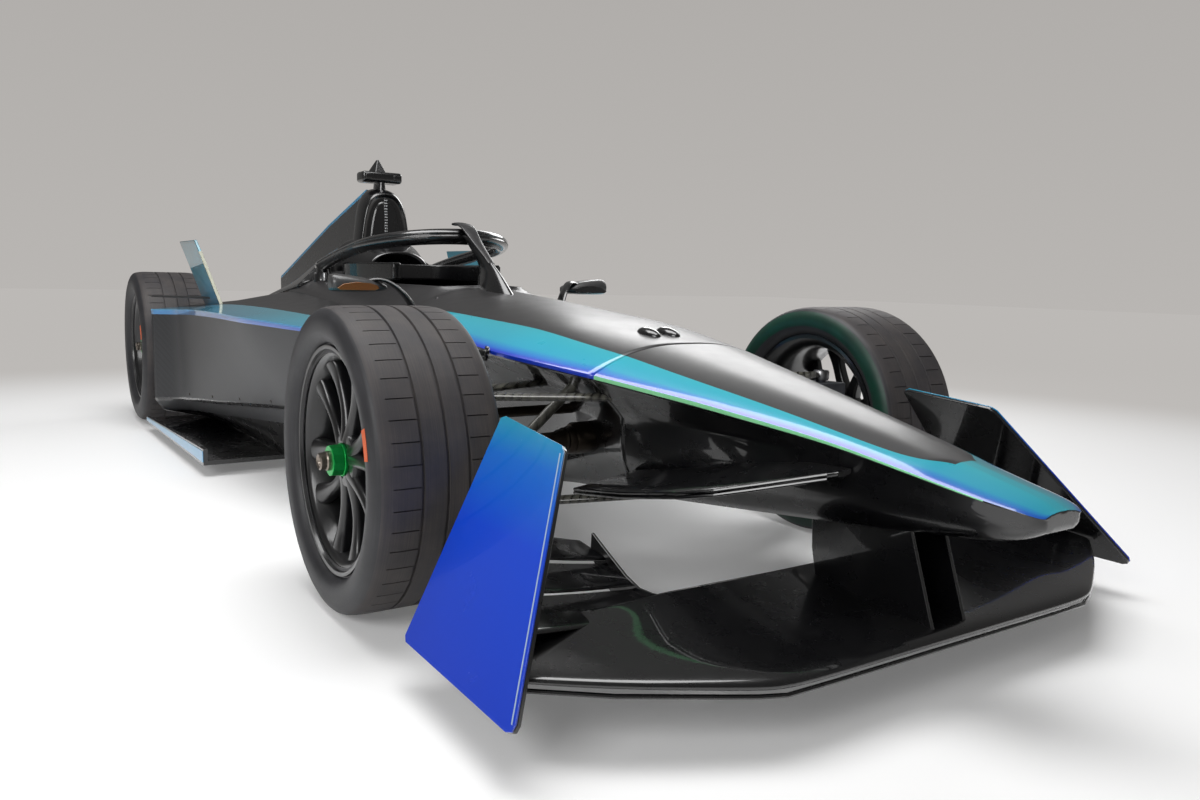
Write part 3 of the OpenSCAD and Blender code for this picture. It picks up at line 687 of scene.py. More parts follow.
def rod(bm: BMesh, start: Point, end: Point, radius: float, tip: float | None = None, sides: int = 24) -> None:
    """Add a straight round bar.

    Args:
        bm: Mesh that takes the bar.
        start: Centre of its first end.
        end: Centre of its other end.
        radius: Radius at the start.
        tip: Radius at the end, or None for the same.
        sides: Sides of its circle.
    """
    start, end = Vector(start), Vector(end)
    ahead = end - start
    turn = ahead.to_track_quat("Z", "Y").to_matrix().to_4x4()
    bmesh.ops.create_cone(bm, cap_ends=True, segments=sides, radius1=radius, radius2=radius if tip is None else tip,
                          depth=ahead.length, matrix=Matrix.Translation((start + end) / 2) @ turn)


def turned(bm: BMesh, profile: Sequence[tuple[float, float]], centre: Point, side: float = 1.0,
           steps: int = 48) -> None:
    """Spin a profile round an axis along Y.

    Args:
        bm: Mesh that takes the shape.
        profile: Radius and offset along the axis, from end to end.
        centre: Point on the axis that the offsets start from.
        side: 1 to count the offsets along +Y, -1 along -Y.
        steps: Sides of the round.
    """
    centre = Vector(centre)
    verts = [bm.verts.new(centre + Vector((0.0, side * along, r))) for r, along in profile]
    edges = [bm.edges.new(pair) for pair in zip(verts, verts[1:])]
    bmesh.ops.spin(bm, geom=verts + edges, cent=centre, axis=(0.0, 1.0, 0.0), angle=math.tau,
                   steps=steps, use_merge=True)
    tidy(bm)


@dataclass
class Loft:
    """A skin drawn through rows of points, with its columns kept for creases, finishes and maps."""

    rows: Sequence[Sequence[Point]]
    closed: bool = False
    caps: bool = False
    creases: dict[int, float] = field(default_factory=dict)
    end_crease: float = 1.0
    paint: Callable[[int, int], int] = lambda column, station: 0
    across: Callable[[int], float] = lambda column: float(column)

    def build(self) -> BMesh:
        """Draw the skin.

        Returns:
            The mesh, with a station and a column on every vertex.
        """
        bm = bmesh.new()
        column = bm.verts.layers.int.new("column")
        station = bm.verts.layers.int.new("station")
        first = []
        for index, point in enumerate(self.rows[0]):
            vert = bm.verts.new(point)
            vert[column] = index
            first.append(vert)
        count = len(first)
        pairs = list(zip(first, first[1:])) + ([(first[-1], first[0])] if self.closed else [])
        edges = [bm.edges.new(pair) for pair in pairs]
        for step, row in enumerate(self.rows[1:], 1):
            grown = bmesh.ops.extrude_edge_only(bm, edges=edges)["geom"]
            verts = {g for g in grown if isinstance(g, BMVert)}
            edges = [g for g in grown if isinstance(g, BMEdge) and set(g.verts) <= verts]
            for vert in verts:
                vert.co = row[vert[column]]
                vert[station] = step
        crease = bm.edges.layers.float.new("crease_edge")
        for edge in bm.edges:
            one, two = edge.verts
            if one[column] == two[column]:
                edge[crease] = self.creases.get(one[column], 0.0)
            edge.smooth = edge[crease] < SHARP_CREASE
        uv = bm.loops.layers.uv.new("Section")
        for face in bm.faces:
            columns = {v[column] for v in face.verts}
            low = max(columns) if self.closed and columns == {0, count - 1} else min(columns)
            face.material_index = self.paint(low, min(v[station] for v in face.verts))
            for loop in face.loops:
                loop[uv].uv = (self.across(loop.vert[column]), loop.vert.co.x)
        if self.caps:
            for stand in (0, len(self.rows) - 1):
                end = [e for e in bm.edges if all(v[station] == stand for v in e.verts)]
                for face in bmesh.ops.contextual_create(bm, geom=end)["faces"]:
                    face.material_index = self.paint(0, 0)
                for edge in end:
                    edge[crease] = self.end_crease
                    edge.smooth = self.end_crease < SHARP_CREASE
        bmesh.ops.recalc_face_normals(bm, faces=bm.faces[:])
        return bm


def solid_loft(rows: Sequence[Sequence[Point]], creases: dict[int, float] | None = None, end: float = 1.0) -> BMesh:
    """Draw a closed skin with capped ends.

    Args:
        rows: Rings of points from end to end.
        creases: Crease of each column that has one.
        end: Crease round the caps.

    Returns:
        The mesh.
    """
    return Loft(rows, closed=True, caps=True, creases=creases or {}, end_crease=end).build()


@dataclass
class Piece:
    """One named mesh, its finishes, and how it is handed to the frame."""

    name: str
    slot: str
    finishes: Sequence[Finish]
    body: str = CHASSIS
    replaces: Sequence[str] = ()
    bevel: float = 0.0
    subdivide: int = 0
    wall: float = 0.0
    sharp: float = 35.0
    mirror: bool = False

    def hand_in(self, bm: BMesh) -> Object:
        """Turn the mesh into an object that rides on its body.

        Args:
            bm: The finished mesh, freed here.

        Returns:
            The new object.
        """
        if self.mirror:
            both(bm, MERGE_GAP)
        for face in bm.faces:
            face.smooth = True
        if not self.subdivide and not self.bevel:
            for edge in bm.edges:
                edge.smooth = edge.is_manifold and edge.calc_face_angle(0.0) < math.radians(self.sharp)
        mesh = bpy.data.meshes.new(self.name)
        bm.to_mesh(mesh)
        bm.free()
        made = bpy.data.objects.new(self.name, mesh)
        bpy.context.scene.collection.objects.link(made)
        for finish in self.finishes:
            mesh.materials.append(finish.material())
        self.add_modifiers(made)
        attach(made, self.body)
        if self.replaces:
            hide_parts(*self.replaces)
        LOG.info("%s: %d faces on %s", self.name, len(mesh.polygons), self.body)
        return made

    def add_modifiers(self, made: Object) -> None:
        """Add the finishing modifiers that the piece asks for.

        Args:
            made: The object.
        """
        if self.bevel:
            bevel = made.modifiers.new("edges", "BEVEL")
            bevel.width, bevel.segments, bevel.limit_method = self.bevel, 2, "ANGLE"
            bevel.angle_limit = math.radians(self.sharp)
            bevel.harden_normals = True
        if self.subdivide:
            smooth = made.modifiers.new("smooth", "SUBSURF")
            smooth.levels = smooth.render_levels = self.subdivide
        if self.wall:
            solid = made.modifiers.new("wall", "SOLIDIFY")
            solid.thickness, solid.offset = self.wall, -1.0


def gloss(name: str, bm: BMesh, **more) -> None:
    """Hand in one piece in gloss lacquer."""
    Piece(name, "gloss_carbon", (GLOSS_BLACK,), **more).hand_in(bm)


# ---------------------------------------------------------------- bodywork


@dataclass
class Bodywork:
    """Nose and monocoque: one crowned section with an edge line that carries the stripes."""

    seam: float = FRONT + 0.18
    gap: float = 0.0008
    strip: float = 0.014
    lip: float = 0.014
    line: float = 0.010
    skin: float = 0.009
    rim_rise: float = 0.012
    rows: Sequence[Row] = (
        (FRONT + 1.135, 0.050, 0.3700, 0.3780, 0.047, 0.362, 0.032, 0.346),
        (FRONT + 1.128, 0.062, 0.3708, 0.3800, 0.059, 0.363, 0.040, 0.343),
        (FRONT + 1.105, 0.076, 0.378, 0.392, 0.073, 0.366, 0.048, 0.328),
        (FRONT + 1.050, 0.087, 0.385, 0.404, 0.084, 0.370, 0.055, 0.314),
        (FRONT + 0.750, 0.128, 0.439, 0.470, 0.118, 0.394, 0.080, 0.276),
        (FRONT + 0.450, 0.200, 0.478, 0.526, 0.148, 0.402, 0.105, 0.243),
        (FRONT + 0.180, 0.276, 0.508, 0.574, 0.187, 0.404, 0.130, 0.215),
        (FRONT - 0.150, 0.374, 0.541, 0.617, 0.160, 0.430, 0.140, 0.185),
        (FRONT - 0.450, 0.360, 0.560, 0.642, 0.250, 0.400, 0.200, 0.130),
        (REAR + 1.870, 0.360, 0.600, 0.695, 0.340, 0.330, 0.280, 0.0585),
        (REAR + 1.470, 0.360, 0.620, 0.715, 0.345, 0.330, 0.290, 0.0585),
        (REAR + 1.070, 0.360, 0.640, 0.760, 0.345, 0.330, 0.290, 0.0585),
        (REAR + 0.820, 0.340, 0.640, 0.780, 0.325, 0.330, 0.290, 0.0585),
    )
    band_edge: Sequence[Row] = (
        (FRONT + 0.950, 0.016), (FRONT + 0.932, 0.045), (FRONT + 0.915, 0.066), (FRONT + 0.870, 0.088),
        (FRONT + 0.780, 0.103), (FRONT + 0.570, 0.131), (FRONT + 0.414, 0.158), (FRONT + 0.228, 0.183),
        (FRONT + 0.090, 0.203), (FRONT - 0.300, 0.245), (FRONT - 0.668, 0.281), (FRONT - 0.800, 0.312),
        (FRONT - 0.900, 0.330), (FRONT - 1.000, 0.334))
    rim: Sequence[Row] = (
        (FRONT - 0.60, 0.140), (FRONT - 0.92, 0.110), (FRONT - 0.95, 0.165), (FRONT - 1.20, 0.225),
        (FRONT - 1.63, 0.225), (FRONT - 1.75, 0.170), (FRONT - 1.90, 0.150))
    opening: tuple[float, float] = (FRONT - 1.75, FRONT - 0.92)

    def crown(self, row: Row, y: float) -> float:
        """Give the height of the crowned top.

        Args:
            row: The body row.
            y: Distance from the middle.

        Returns:
            The height there.
        """
        return row[2] + (row[3] - row[2]) * (1.0 - min(1.0, y / row[1]) ** 3)

    def section(self, x: float, at: float | None = None) -> list[Point]:
        """Give the half section at one place, from the keel to the middle of the top.

        Args:
            x: Place along the car that the shape is read from.
            at: Place where the section stands, or None for x.

        Returns:
            Twelve points.
        """
        row = lookup(self.rows, x)
        _, half, edge, top, waist, waist_z, low, bottom = row
        lip = min(self.lip, 0.2 * (edge - waist_z))
        band = max(0.012, min(lookup(self.band_edge, x)[1], half - self.strip - 0.006))
        inner = min(lookup(self.rim, x)[1], band * 0.85) if x < FRONT - 0.5 else band * 0.55
        points = [
            (0.0, bottom), (low, bottom), (waist, bottom + 0.4 * (waist_z - bottom)), (waist, waist_z),
            (half - 0.003, edge - lip), (half, edge - self.line * lip / self.lip), (half, edge),
            (half - self.strip, self.crown(row, half - self.strip)), (band, self.crown(row, band)),
            (inner, self.crown(row, inner)), (inner * 0.5, self.crown(row, inner * 0.5)), (0.0, top)]
        stand = x if at is None else at
        return [(stand, y, z) for y, z in points]

    def across(self, column: int) -> float:
        """Give the place across the stripe: 0 at its inner edge, 1 at the edge line."""
        return {5: 1.0, 6: 1.0, 7: 0.88, 8: 0.0}.get(column, 0.0 if column > 8 else 1.0)

    def nose(self) -> None:
        """Build the nose cone."""
        places = [self.rows[0][0], self.rows[1][0], FRONT + 1.105, FRONT + 1.05, FRONT + 0.99, FRONT + 0.95,
                  FRONT + 0.932, FRONT + 0.915, FRONT + 0.87, FRONT + 0.78, FRONT + 0.68, FRONT + 0.57,
                  FRONT + 0.45, FRONT + 0.33, FRONT + 0.23, self.seam]
        rows = [self.section(x) for x in places[:-1]] + [self.section(self.seam, self.seam + self.gap)]
        ahead = places.index(FRONT + 0.95)

        def paint(column: int, station: int) -> int:
            """Choose the stripe that a face belongs to."""
            if column < 5:
                return 0
            if column == 5:
                return 3 if station > 2 else 0
            if column < 8 or station < ahead:
                return 1
            return 2
        creases = {1: 0.6, 3: 0.7, 4: 0.9, 6: 0.95}
        bm = Loft(rows, creases=creases, paint=paint, across=self.across).build()
        self.close_end(bm, rows[0][0][0])
        self.recess(bm, FRONT + 0.70, FRONT + 0.25)
        Piece("nose_skin", "satin_carbon", (GLOSS_BLACK, BAND, SATIN_BLACK, LIME), replaces=("nose_cone",),
              subdivide=2, mirror=True).hand_in(bm)

    def close_end(self, bm: BMesh, x: float) -> None:
        """Close the half ring that stands at one end.

        Args:
            bm: The half skin.
            x: Place of the end.
        """
        verts = [v for v in bm.verts if abs(v.co.x - x) < MERGE_GAP]
        edges = [e for e in bm.edges if e.is_boundary and all(v in verts for v in e.verts)]
        verts.sort(key=lambda v: v.co.z)
        for face in bmesh.ops.contextual_create(bm, geom=verts)["faces"]:
            face.material_index = 0
        crease = bm.edges.layers.float["crease_edge"]
        for edge in edges:
            edge[crease] = 0.95
        bmesh.ops.recalc_face_normals(bm, faces=bm.faces[:])

    def recess(self, bm: BMesh, ahead: float, behind: float) -> None:
        """Press a shallow panel into the side wall.

        Args:
            bm: The half skin.
            ahead: Front end of the panel.
            behind: Its rear end.
        """
        column = bm.verts.layers.int["column"]
        walls = [f for f in bm.faces if {v[column] for v in f.verts} == {3, 4}
                 and all(behind - 0.03 < v.co.x < ahead for v in f.verts)]
        bmesh.ops.inset_region(bm, faces=walls, thickness=0.008, depth=-0.006, use_even_offset=True)

    def tub(self) -> None:
        """Build the monocoque with its cockpit opening."""
        back, ahead = self.opening
        places = [self.seam, FRONT + 0.09, FRONT - 0.04, FRONT - 0.15, FRONT - 0.30, FRONT - 0.45, FRONT - 0.60,
                  FRONT - 0.70, FRONT - 0.80, FRONT - 0.88, ahead, FRONT - 0.95, FRONT - 1.05, FRONT - 1.20,
                  FRONT - 1.42, FRONT - 1.63, FRONT - 1.70, back, FRONT - 1.80, FRONT - 1.90, FRONT - 2.02,
                  REAR + 0.82]
        rows = [self.section(x) for x in places]
        behind = places.index(FRONT - 0.88)

        def paint(column: int, station: int) -> int:
            """Choose the stripe that a face belongs to."""
            if column < 5:
                return 0
            if column < 8:
                return 1 if station < behind else 2
            return 2
        creases = {1: 0.6, 3: 0.6, 4: 0.9, 6: 0.95}
        bm = Loft(rows, creases=creases, paint=paint, across=self.across).build()
        column = bm.verts.layers.int["column"]
        hole = [f for f in bm.faces if min(v[column] for v in f.verts) >= 9
                and all(back - 1e-4 <= v.co.x <= ahead + 1e-4 for v in f.verts)]
        bmesh.ops.delete(bm, geom=hole, context="FACES")
        rim = [e for e in bm.edges if e.is_boundary and all(
            v[column] >= 9 and back - 1e-4 <= v.co.x <= ahead + 1e-4 for v in e.verts)
            and not all(v.co.y < 1e-6 for v in e.verts)]
        raised = bmesh.ops.extrude_edge_only(bm, edges=rim)["geom"]
        verts = [g for g in raised if isinstance(g, BMVert)]
        bmesh.ops.translate(bm, verts=verts, vec=(0.0, 0.0, self.rim_rise))
        space = Matrix.Translation((-(back + ahead) / 2, 0.0, 0.0))
        bmesh.ops.scale(bm, verts=verts, vec=(0.99, 0.96, 1.0), space=space)
        self.close_end(bm, places[-1])
        Piece("monocoque_skin", "satin_carbon", (GLOSS_BLACK, BAND, SATIN_BLACK), replaces=("tub",),
              subdivide=2, wall=self.skin, mirror=True).hand_in(bm)

    def build(self) -> None:
        """Build both halves and the small fittings on the top."""
        self.nose()
        self.tub()
        bm = bmesh.new()
        for y in (-0.030, 0.030):
            place = Matrix.Translation((FRONT + 0.05, y, self.crown(lookup(self.rows, FRONT + 0.05), 0.03) - 0.002))
            shape = place @ Matrix.Rotation(math.radians(8), 4, "Y") @ Matrix.Diagonal((0.044, 0.020, 0.017, 1.0))
            bmesh.ops.create_uvsphere(bm, u_segments=32, v_segments=16, radius=1.0, matrix=shape)
        gloss("nose_sensor_bumps", bm)


@dataclass
class Sidepod:
    """One sidepod: a top that carries the stripe, a twill side panel, a skirt and its foot."""

    side: Side
    wall: float = 0.009
    screw_rise: float = 0.06
    rows: Sequence[Row] = (
        (FRONT - 0.15, 0.388, 0.541, 0.386, 0.525, 0.385, 0.523, 0.384, 0.521),
        (FRONT - 0.45, 0.487, 0.550, 0.485, 0.534, 0.484, 0.532, 0.483, 0.530),
        (FRONT - 0.71, 0.578, 0.557, 0.560, 0.520, 0.556, 0.516, 0.552, 0.512),
        (FRONT - 0.905, 0.644, 0.563, 0.600, 0.380, 0.592, 0.350, 0.588, 0.346),
        (REAR + 1.87, 0.692, 0.570, 0.612, 0.285, 0.592, 0.230, 0.575, 0.226),
        (REAR + 1.72, 0.727, 0.572, 0.620, 0.272, 0.600, 0.215, 0.520, 0.0585),
        (REAR + 1.37, 0.735, 0.572, 0.652, 0.238, 0.630, 0.185, 0.540, 0.0585),
        (REAR + 1.07, 0.735, 0.567, 0.682, 0.208, 0.658, 0.156, 0.552, 0.0585),
        (REAR + 0.82, 0.735, 0.561, 0.703, 0.187, 0.679, 0.137, 0.562, 0.0585),
        (REAR + 0.54, 0.735, 0.549, 0.728, 0.162, 0.700, 0.112, 0.580, 0.0585),
        (REAR + 0.41, 0.820, 0.546, 0.817, 0.148, 0.785, 0.100, 0.600, 0.0585),
    )
    inner: Sequence[Row] = (
        (FRONT - 0.15, 0.3745, 0.541), (FRONT - 0.45, 0.3605, 0.560), (REAR + 1.87, 0.3605, 0.600),
        (REAR + 1.47, 0.3605, 0.620), (REAR + 1.07, 0.3605, 0.640), (REAR + 0.82, 0.3405, 0.640),
        (REAR + 0.41, 0.3305, 0.600))
    stripe: Sequence[Row] = (
        (FRONT - 0.15, 0.376), (FRONT - 0.45, 0.362), (FRONT - 0.80, 0.372), (FRONT - 0.90, 0.47),
        (FRONT - 1.00, 0.53), (FRONT - 1.42, 0.585), (FRONT - 2.0, 0.655), (FRONT - 2.42, 0.715),
        (FRONT - 2.56, 0.790))

    def section(self, x: float) -> list[Point]:
        """Give the section from the body out over the edge and down to the foot.

        Args:
            x: Place along the car.

        Returns:
            Ten points on this side.
        """
        _, edge, edge_z, crease, crease_z, skirt, skirt_z, foot, foot_z = lookup(self.rows, x)
        _, inner, inner_z = lookup(self.inner, x)
        stripe = min(max(lookup(self.stripe, x)[1], inner + 0.003), edge - 0.016)

        def top(y: float) -> float:
            """Height of the straight top."""
            share = (y - inner) / (edge - inner)
            return inner_z + share * (edge_z - inner_z)
        drop = min(0.010, 0.5 * (edge_z - crease_z))
        fold = min(0.006, 0.5 * abs(crease_z - skirt_z))
        points = [
            (inner, inner_z), (stripe, top(stripe)), (edge - 0.012, top(edge - 0.012)), (edge, edge_z),
            (edge - 0.001, edge_z - drop), (crease, crease_z), (crease - 0.004, crease_z - fold),
            (skirt, skirt_z), (skirt - 0.2 * (skirt - foot), skirt_z - 0.3 * (skirt_z - foot_z)), (foot, foot_z)]
        return [(x, self.side.value * y, z) for y, z in points]

    def build(self) -> None:
        """Build the skin and its fasteners."""
        places = [FRONT - 0.15, FRONT - 0.3, FRONT - 0.45, FRONT - 0.58, FRONT - 0.71, FRONT - 0.80, FRONT - 0.905,
                  FRONT - 1.0, FRONT - 1.10, FRONT - 1.25, FRONT - 1.42, FRONT - 1.60, FRONT - 1.9, FRONT - 2.15,
                  FRONT - 2.3, FRONT - 2.43, FRONT - 2.50, FRONT - 2.56]
        rows = [self.section(x) for x in places]

        def paint(column: int, station: int) -> int:
            """Choose the finish of a face; the narrow tip stays black."""
            return (2, 1, 1, 1, 3, 0, 3, 0, 0)[column] if station > 1 else 0
        creases = {3: 0.95, 4: 0.5, 5: 0.9, 6: 0.8, 7: 0.8, 0: 1.0, 9: 1.0}
        spread = {1: 0.0, 2: 0.55, 3: 0.75, 4: 1.0}
        bm = Loft(rows, creases=creases, paint=paint, across=lambda column: spread.get(column, 1.0)).build()
        self.face_out(bm)
        name = self.side.word
        Piece("sidepod_skin_" + name, "satin_carbon", (GLOSS_BLACK, BAND, SATIN_BLACK, SIDE_TWILL),
              replaces=("sidepod_" + name,), subdivide=2, wall=self.wall).hand_in(bm)
        self.fasteners()

    def face_out(self, bm: BMesh) -> None:
        """Turn the open skin's faces away from the car's middle.

        Args:
            bm: The skin.
        """
        bm.faces.ensure_lookup_table()
        side = max(bm.faces, key=lambda f: abs(f.calc_center_median().y))
        if side.normal.y * self.side.value < 0:
            bmesh.ops.reverse_faces(bm, faces=bm.faces[:])

    def fasteners(self) -> None:
        """Set small screws along the lower crease of the side panel."""
        bm = bmesh.new()
        for x in (FRONT - 1.28, FRONT - 1.62, FRONT - 1.96, FRONT - 2.30):
            _, edge, edge_z, crease, crease_z, *_ = lookup(self.rows, x)
            y = crease + (edge - crease) * self.screw_rise
            z = crease_z + (edge_z - crease_z) * self.screw_rise
            lean = Vector((0.0, edge_z - crease_z, crease - edge)).normalized()
            seat = Vector((x, y, z))
            start, end = seat - lean * 0.002, seat + lean * 0.0018
            flip = Vector((1.0, self.side.value, 1.0))
            rod(bm, start * flip, end * flip, 0.006, 0.0045, sides=16)
        Piece("sidepod_screws_" + self.side.word, "dark_steel", (DARK_STEEL,), bevel=0.0006).hand_in(bm)


# ---------------------------------------------------------------- front wing


@dataclass
class FrontWing:
    """Main plane, flaps, fences, endplates and pylons."""

    rows: Sequence[Row] = (
        (0.000, 0.970, 0.112, 0.355, 0.036, 0.026), (0.135, 0.970, 0.112, 0.352, 0.036, 0.026),
        (0.300, 0.970, 0.112, 0.340, 0.044, 0.026), (0.410, 0.968, 0.112, 0.330, 0.048, 0.026),
        (0.455, 0.952, 0.1135, 0.316, 0.044, 0.024), (0.500, 0.930, 0.115, 0.295, 0.040, 0.022),
        (0.650, 0.850, 0.119, 0.235, 0.026, 0.018), (0.760, 0.777, 0.1240, 0.193, 0.021, 0.015),
        (0.779, 0.764, 0.1250, 0.186, 0.021, 0.014))
    lean: float = math.radians(32.4)
    plate: Sequence[tuple[float, float]] = (
        (0.345, 0.0), (0.360, 0.006), (0.590, -0.016), (0.605, -0.026), (0.838, -0.420), (0.838, -0.432),
        (0.825, -0.438), (0.445, -0.438), (0.432, -0.430))

    def foil(self, y: float, x: float, z: float, chord: float, rise: float, thick: float) -> list[Point]:
        """Give one closed wing section.

        Args:
            y: Place across the car.
            x: Leading edge, ahead of the front axle.
            z: Height of the leading edge.
            chord: Length of the section.
            rise: How far the trailing edge lifts.
            thick: Thickness.

        Returns:
            The section from the nose over the top to the tail and back below.
        """
        top = [(0.0, 0.0, 0.0), (0.02, 0.42, 0.0), (0.10, 0.62, 0.02), (0.35, 0.62, 0.20), (0.70, 0.42, 0.55),
               (0.92, 0.22, 0.88), (1.0, 0.14, 1.0)]
        low = [(1.0, -0.10, 1.0), (0.92, -0.16, 0.86), (0.70, -0.28, 0.50), (0.35, -0.45, 0.14), (0.10, -0.42, 0.0),
               (0.02, -0.30, 0.0)]
        return [(FRONT + x - chord * c, y, z + thick * t + rise * r) for c, t, r in top + low]

    def main_plane(self) -> None:
        """Build the main plane as one piece across the car, with a lip under its leading edge."""
        half = [self.foil(*row) for row in self.rows]
        left = [[(x, -y, z) for x, y, z in row] for row in reversed(half[1:])]
        bm = solid_loft(left + half, {6: 0.8, 7: 0.8})
        gloss("wing_main_plane", bm, replaces=("front_wing",), subdivide=2)
        bm = bmesh.new()
        path = [(FRONT + x - 0.010, y, z - 0.016) for y, x, z, *_ in self.rows]
        path = [(x, -y, z) for x, y, z in reversed(path[1:])] + path
        sweep(bm, path, 0.0042, 8)
        gloss("wing_edge_lip", bm)

    def plate_y(self, z: float, inner: float = 0.0) -> float:
        """Give the middle of the leaning endplate at a height."""
        return 0.588 + (0.452 - z) * math.tan(self.lean) - inner

    def flaps(self) -> None:
        """Build the stack of flaps between each fence and endplate."""
        sag = (0.0, 0.0, 0.006)
        for index in range(3):
            tip_z = 0.168 + 0.042 * index
            root = self.foil(0.412, 0.640 - 0.095 * index, 0.125 + 0.024 * index, 0.100, 0.014, 0.010)
            tip = self.foil(self.plate_y(tip_z, 0.010), 0.700 - 0.080 * index, tip_z, 0.125, 0.026, 0.010)
            middle = [tuple((a + b) / 2 - low for a, b, low in zip(p, q, sag)) for p, q in zip(root, tip)]
            bm = solid_loft([root, middle, tip], {6: 0.8, 7: 0.8})
            gloss("wing_flap_%d" % (index + 1), bm, subdivide=2, mirror=True)
        bm = bmesh.new()
        outline = [(0.655, 0.080), (0.657, 0.150), (0.640, 0.158), (0.600, 0.150), (0.560, 0.148), (0.517, 0.160),
                   (0.460, 0.185), (0.395, 0.215), (0.392, 0.170), (0.425, 0.140), (0.470, 0.112), (0.560, 0.088)]
        for side in (1.0, -1.0):
            prism(bm, [(FRONT + x, side * 0.405, z) for x, z in outline], (0.0, side * 0.007, 0.0))
        tidy(bm)
        gloss("wing_fences", bm, replaces=("front_flaps",), bevel=0.0018)

    def endplate(self, side: Side) -> None:
        """Build one endplate: a blue face on a black core, with a pale strip as a painted highlight along its front
        edge.

        Args:
            side: Side of the car.
        """
        turn = Matrix.Translation((FRONT, 0.588, 0.452)) @ Matrix.Rotation(self.lean, 4, "X")
        layers = (("face", 0.0028, 0.0060, 0.0, ENDPLATE_BLUE, 0.0009),
                  ("core", -0.0060, 0.0028, 0.0006, GLOSS_BLACK, 0.0022))
        for word, inner, outer, trim, finish, bevel in layers:
            bm = leaning_plate(turn, side, [(x - trim, z) for x, z in self.plate], inner, outer)
            replaces = ("endplate_" + side.word,) if word == "core" else ()
            slot = "blue_lacquer" if word == "face" else "gloss_carbon"
            name = "endplate_%s_%s" % (word, side.word)
            Piece(name, slot, (finish,), bevel=bevel, replaces=replaces).hand_in(bm)
        # Pale strip along the front edge: a painted highlight
        corners = [(0.5995, -0.030), (0.8325, -0.424), (0.8290, -0.424), (0.5960, -0.030)]
        bm = leaning_plate(turn, side, corners, 0.0060, 0.0064)
        Piece("endplate_edge_line_" + side.word, "teal_lacquer", (PALE_EDGE_HIGHLIGHT,)).hand_in(bm)

    def pylons(self) -> None:
        """Build the two pylons that hang the wing from the nose."""
        bm = bmesh.new()
        outline = [(0.948, 0.118), (0.936, 0.150), (0.905, 0.240), (0.884, 0.300), (0.760, 0.292), (0.646, 0.278),
                   (0.650, 0.200), (0.664, 0.140)]
        for y in (-0.045, 0.045):
            prism(bm, [(FRONT + x, y - 0.004, z) for x, z in outline], (0.0, 0.008, 0.0))
        tidy(bm)
        gloss("wing_pylon_plates", bm, replaces=("wing_pylons",), bevel=0.0025)

    def build(self) -> None:
        """Build the whole wing."""
        self.main_plane()
        self.flaps()
        for side in Side:
            self.endplate(side)
        self.pylons()


def sweep(bm: BMesh, path: Sequence[Point], radius: float | Sequence[float], sides: int) -> None:
    """Draw a round bar along a path, with its ends closed.

    Args:
        bm: Mesh that takes the sweep.
        path: Centre points.
        radius: Radius, or one per point.
        sides: Sides of the circle.
    """
    points = [Vector(p) for p in path]
    sizes = [radius] * len(points) if isinstance(radius, float) else list(radius)
    circle = [(math.cos(math.tau * k / sides), math.sin(math.tau * k / sides)) for k in range(sides)]
    rows = []
    for index, point in enumerate(points):
        ahead = (points[min(index + 1, len(points) - 1)] - points[max(index - 1, 0)]).normalized()
        across = ahead.cross(Vector((0.0, 0.0, 1.0)))
        across = across.normalized() if across.length > 1e-4 else Vector((0.0, 1.0, 0.0))
        up = across.cross(ahead)
        rows.append([point + (across * u + up * v) * sizes[index] for u, v in circle])
    join(bm, solid_loft(rows))


# ---------------------------------------------------------------- cockpit and cover


def arch(x: float, half: float, base: float, top: float, full: float = 0.8, count: int = 15) -> list[Point]:
    """Give an upright arch across the car, closed along its foot.

    Args:
        x: Place along the car.
        half: Half width of its foot.
        base: Height of its foot.
        top: Height of its crown.
        full: Roundness: lower is squarer.
        count: Points from foot to foot.

    Returns:
        The arch from left to right.
    """
    points = []
    for step in range(count):
        angle = math.pi * step / (count - 1)
        c, s = math.cos(angle), max(0.0, math.sin(angle))
        points.append((x, half * math.copysign(abs(c) ** full, c), base + (top - base) * s ** full))
    return points


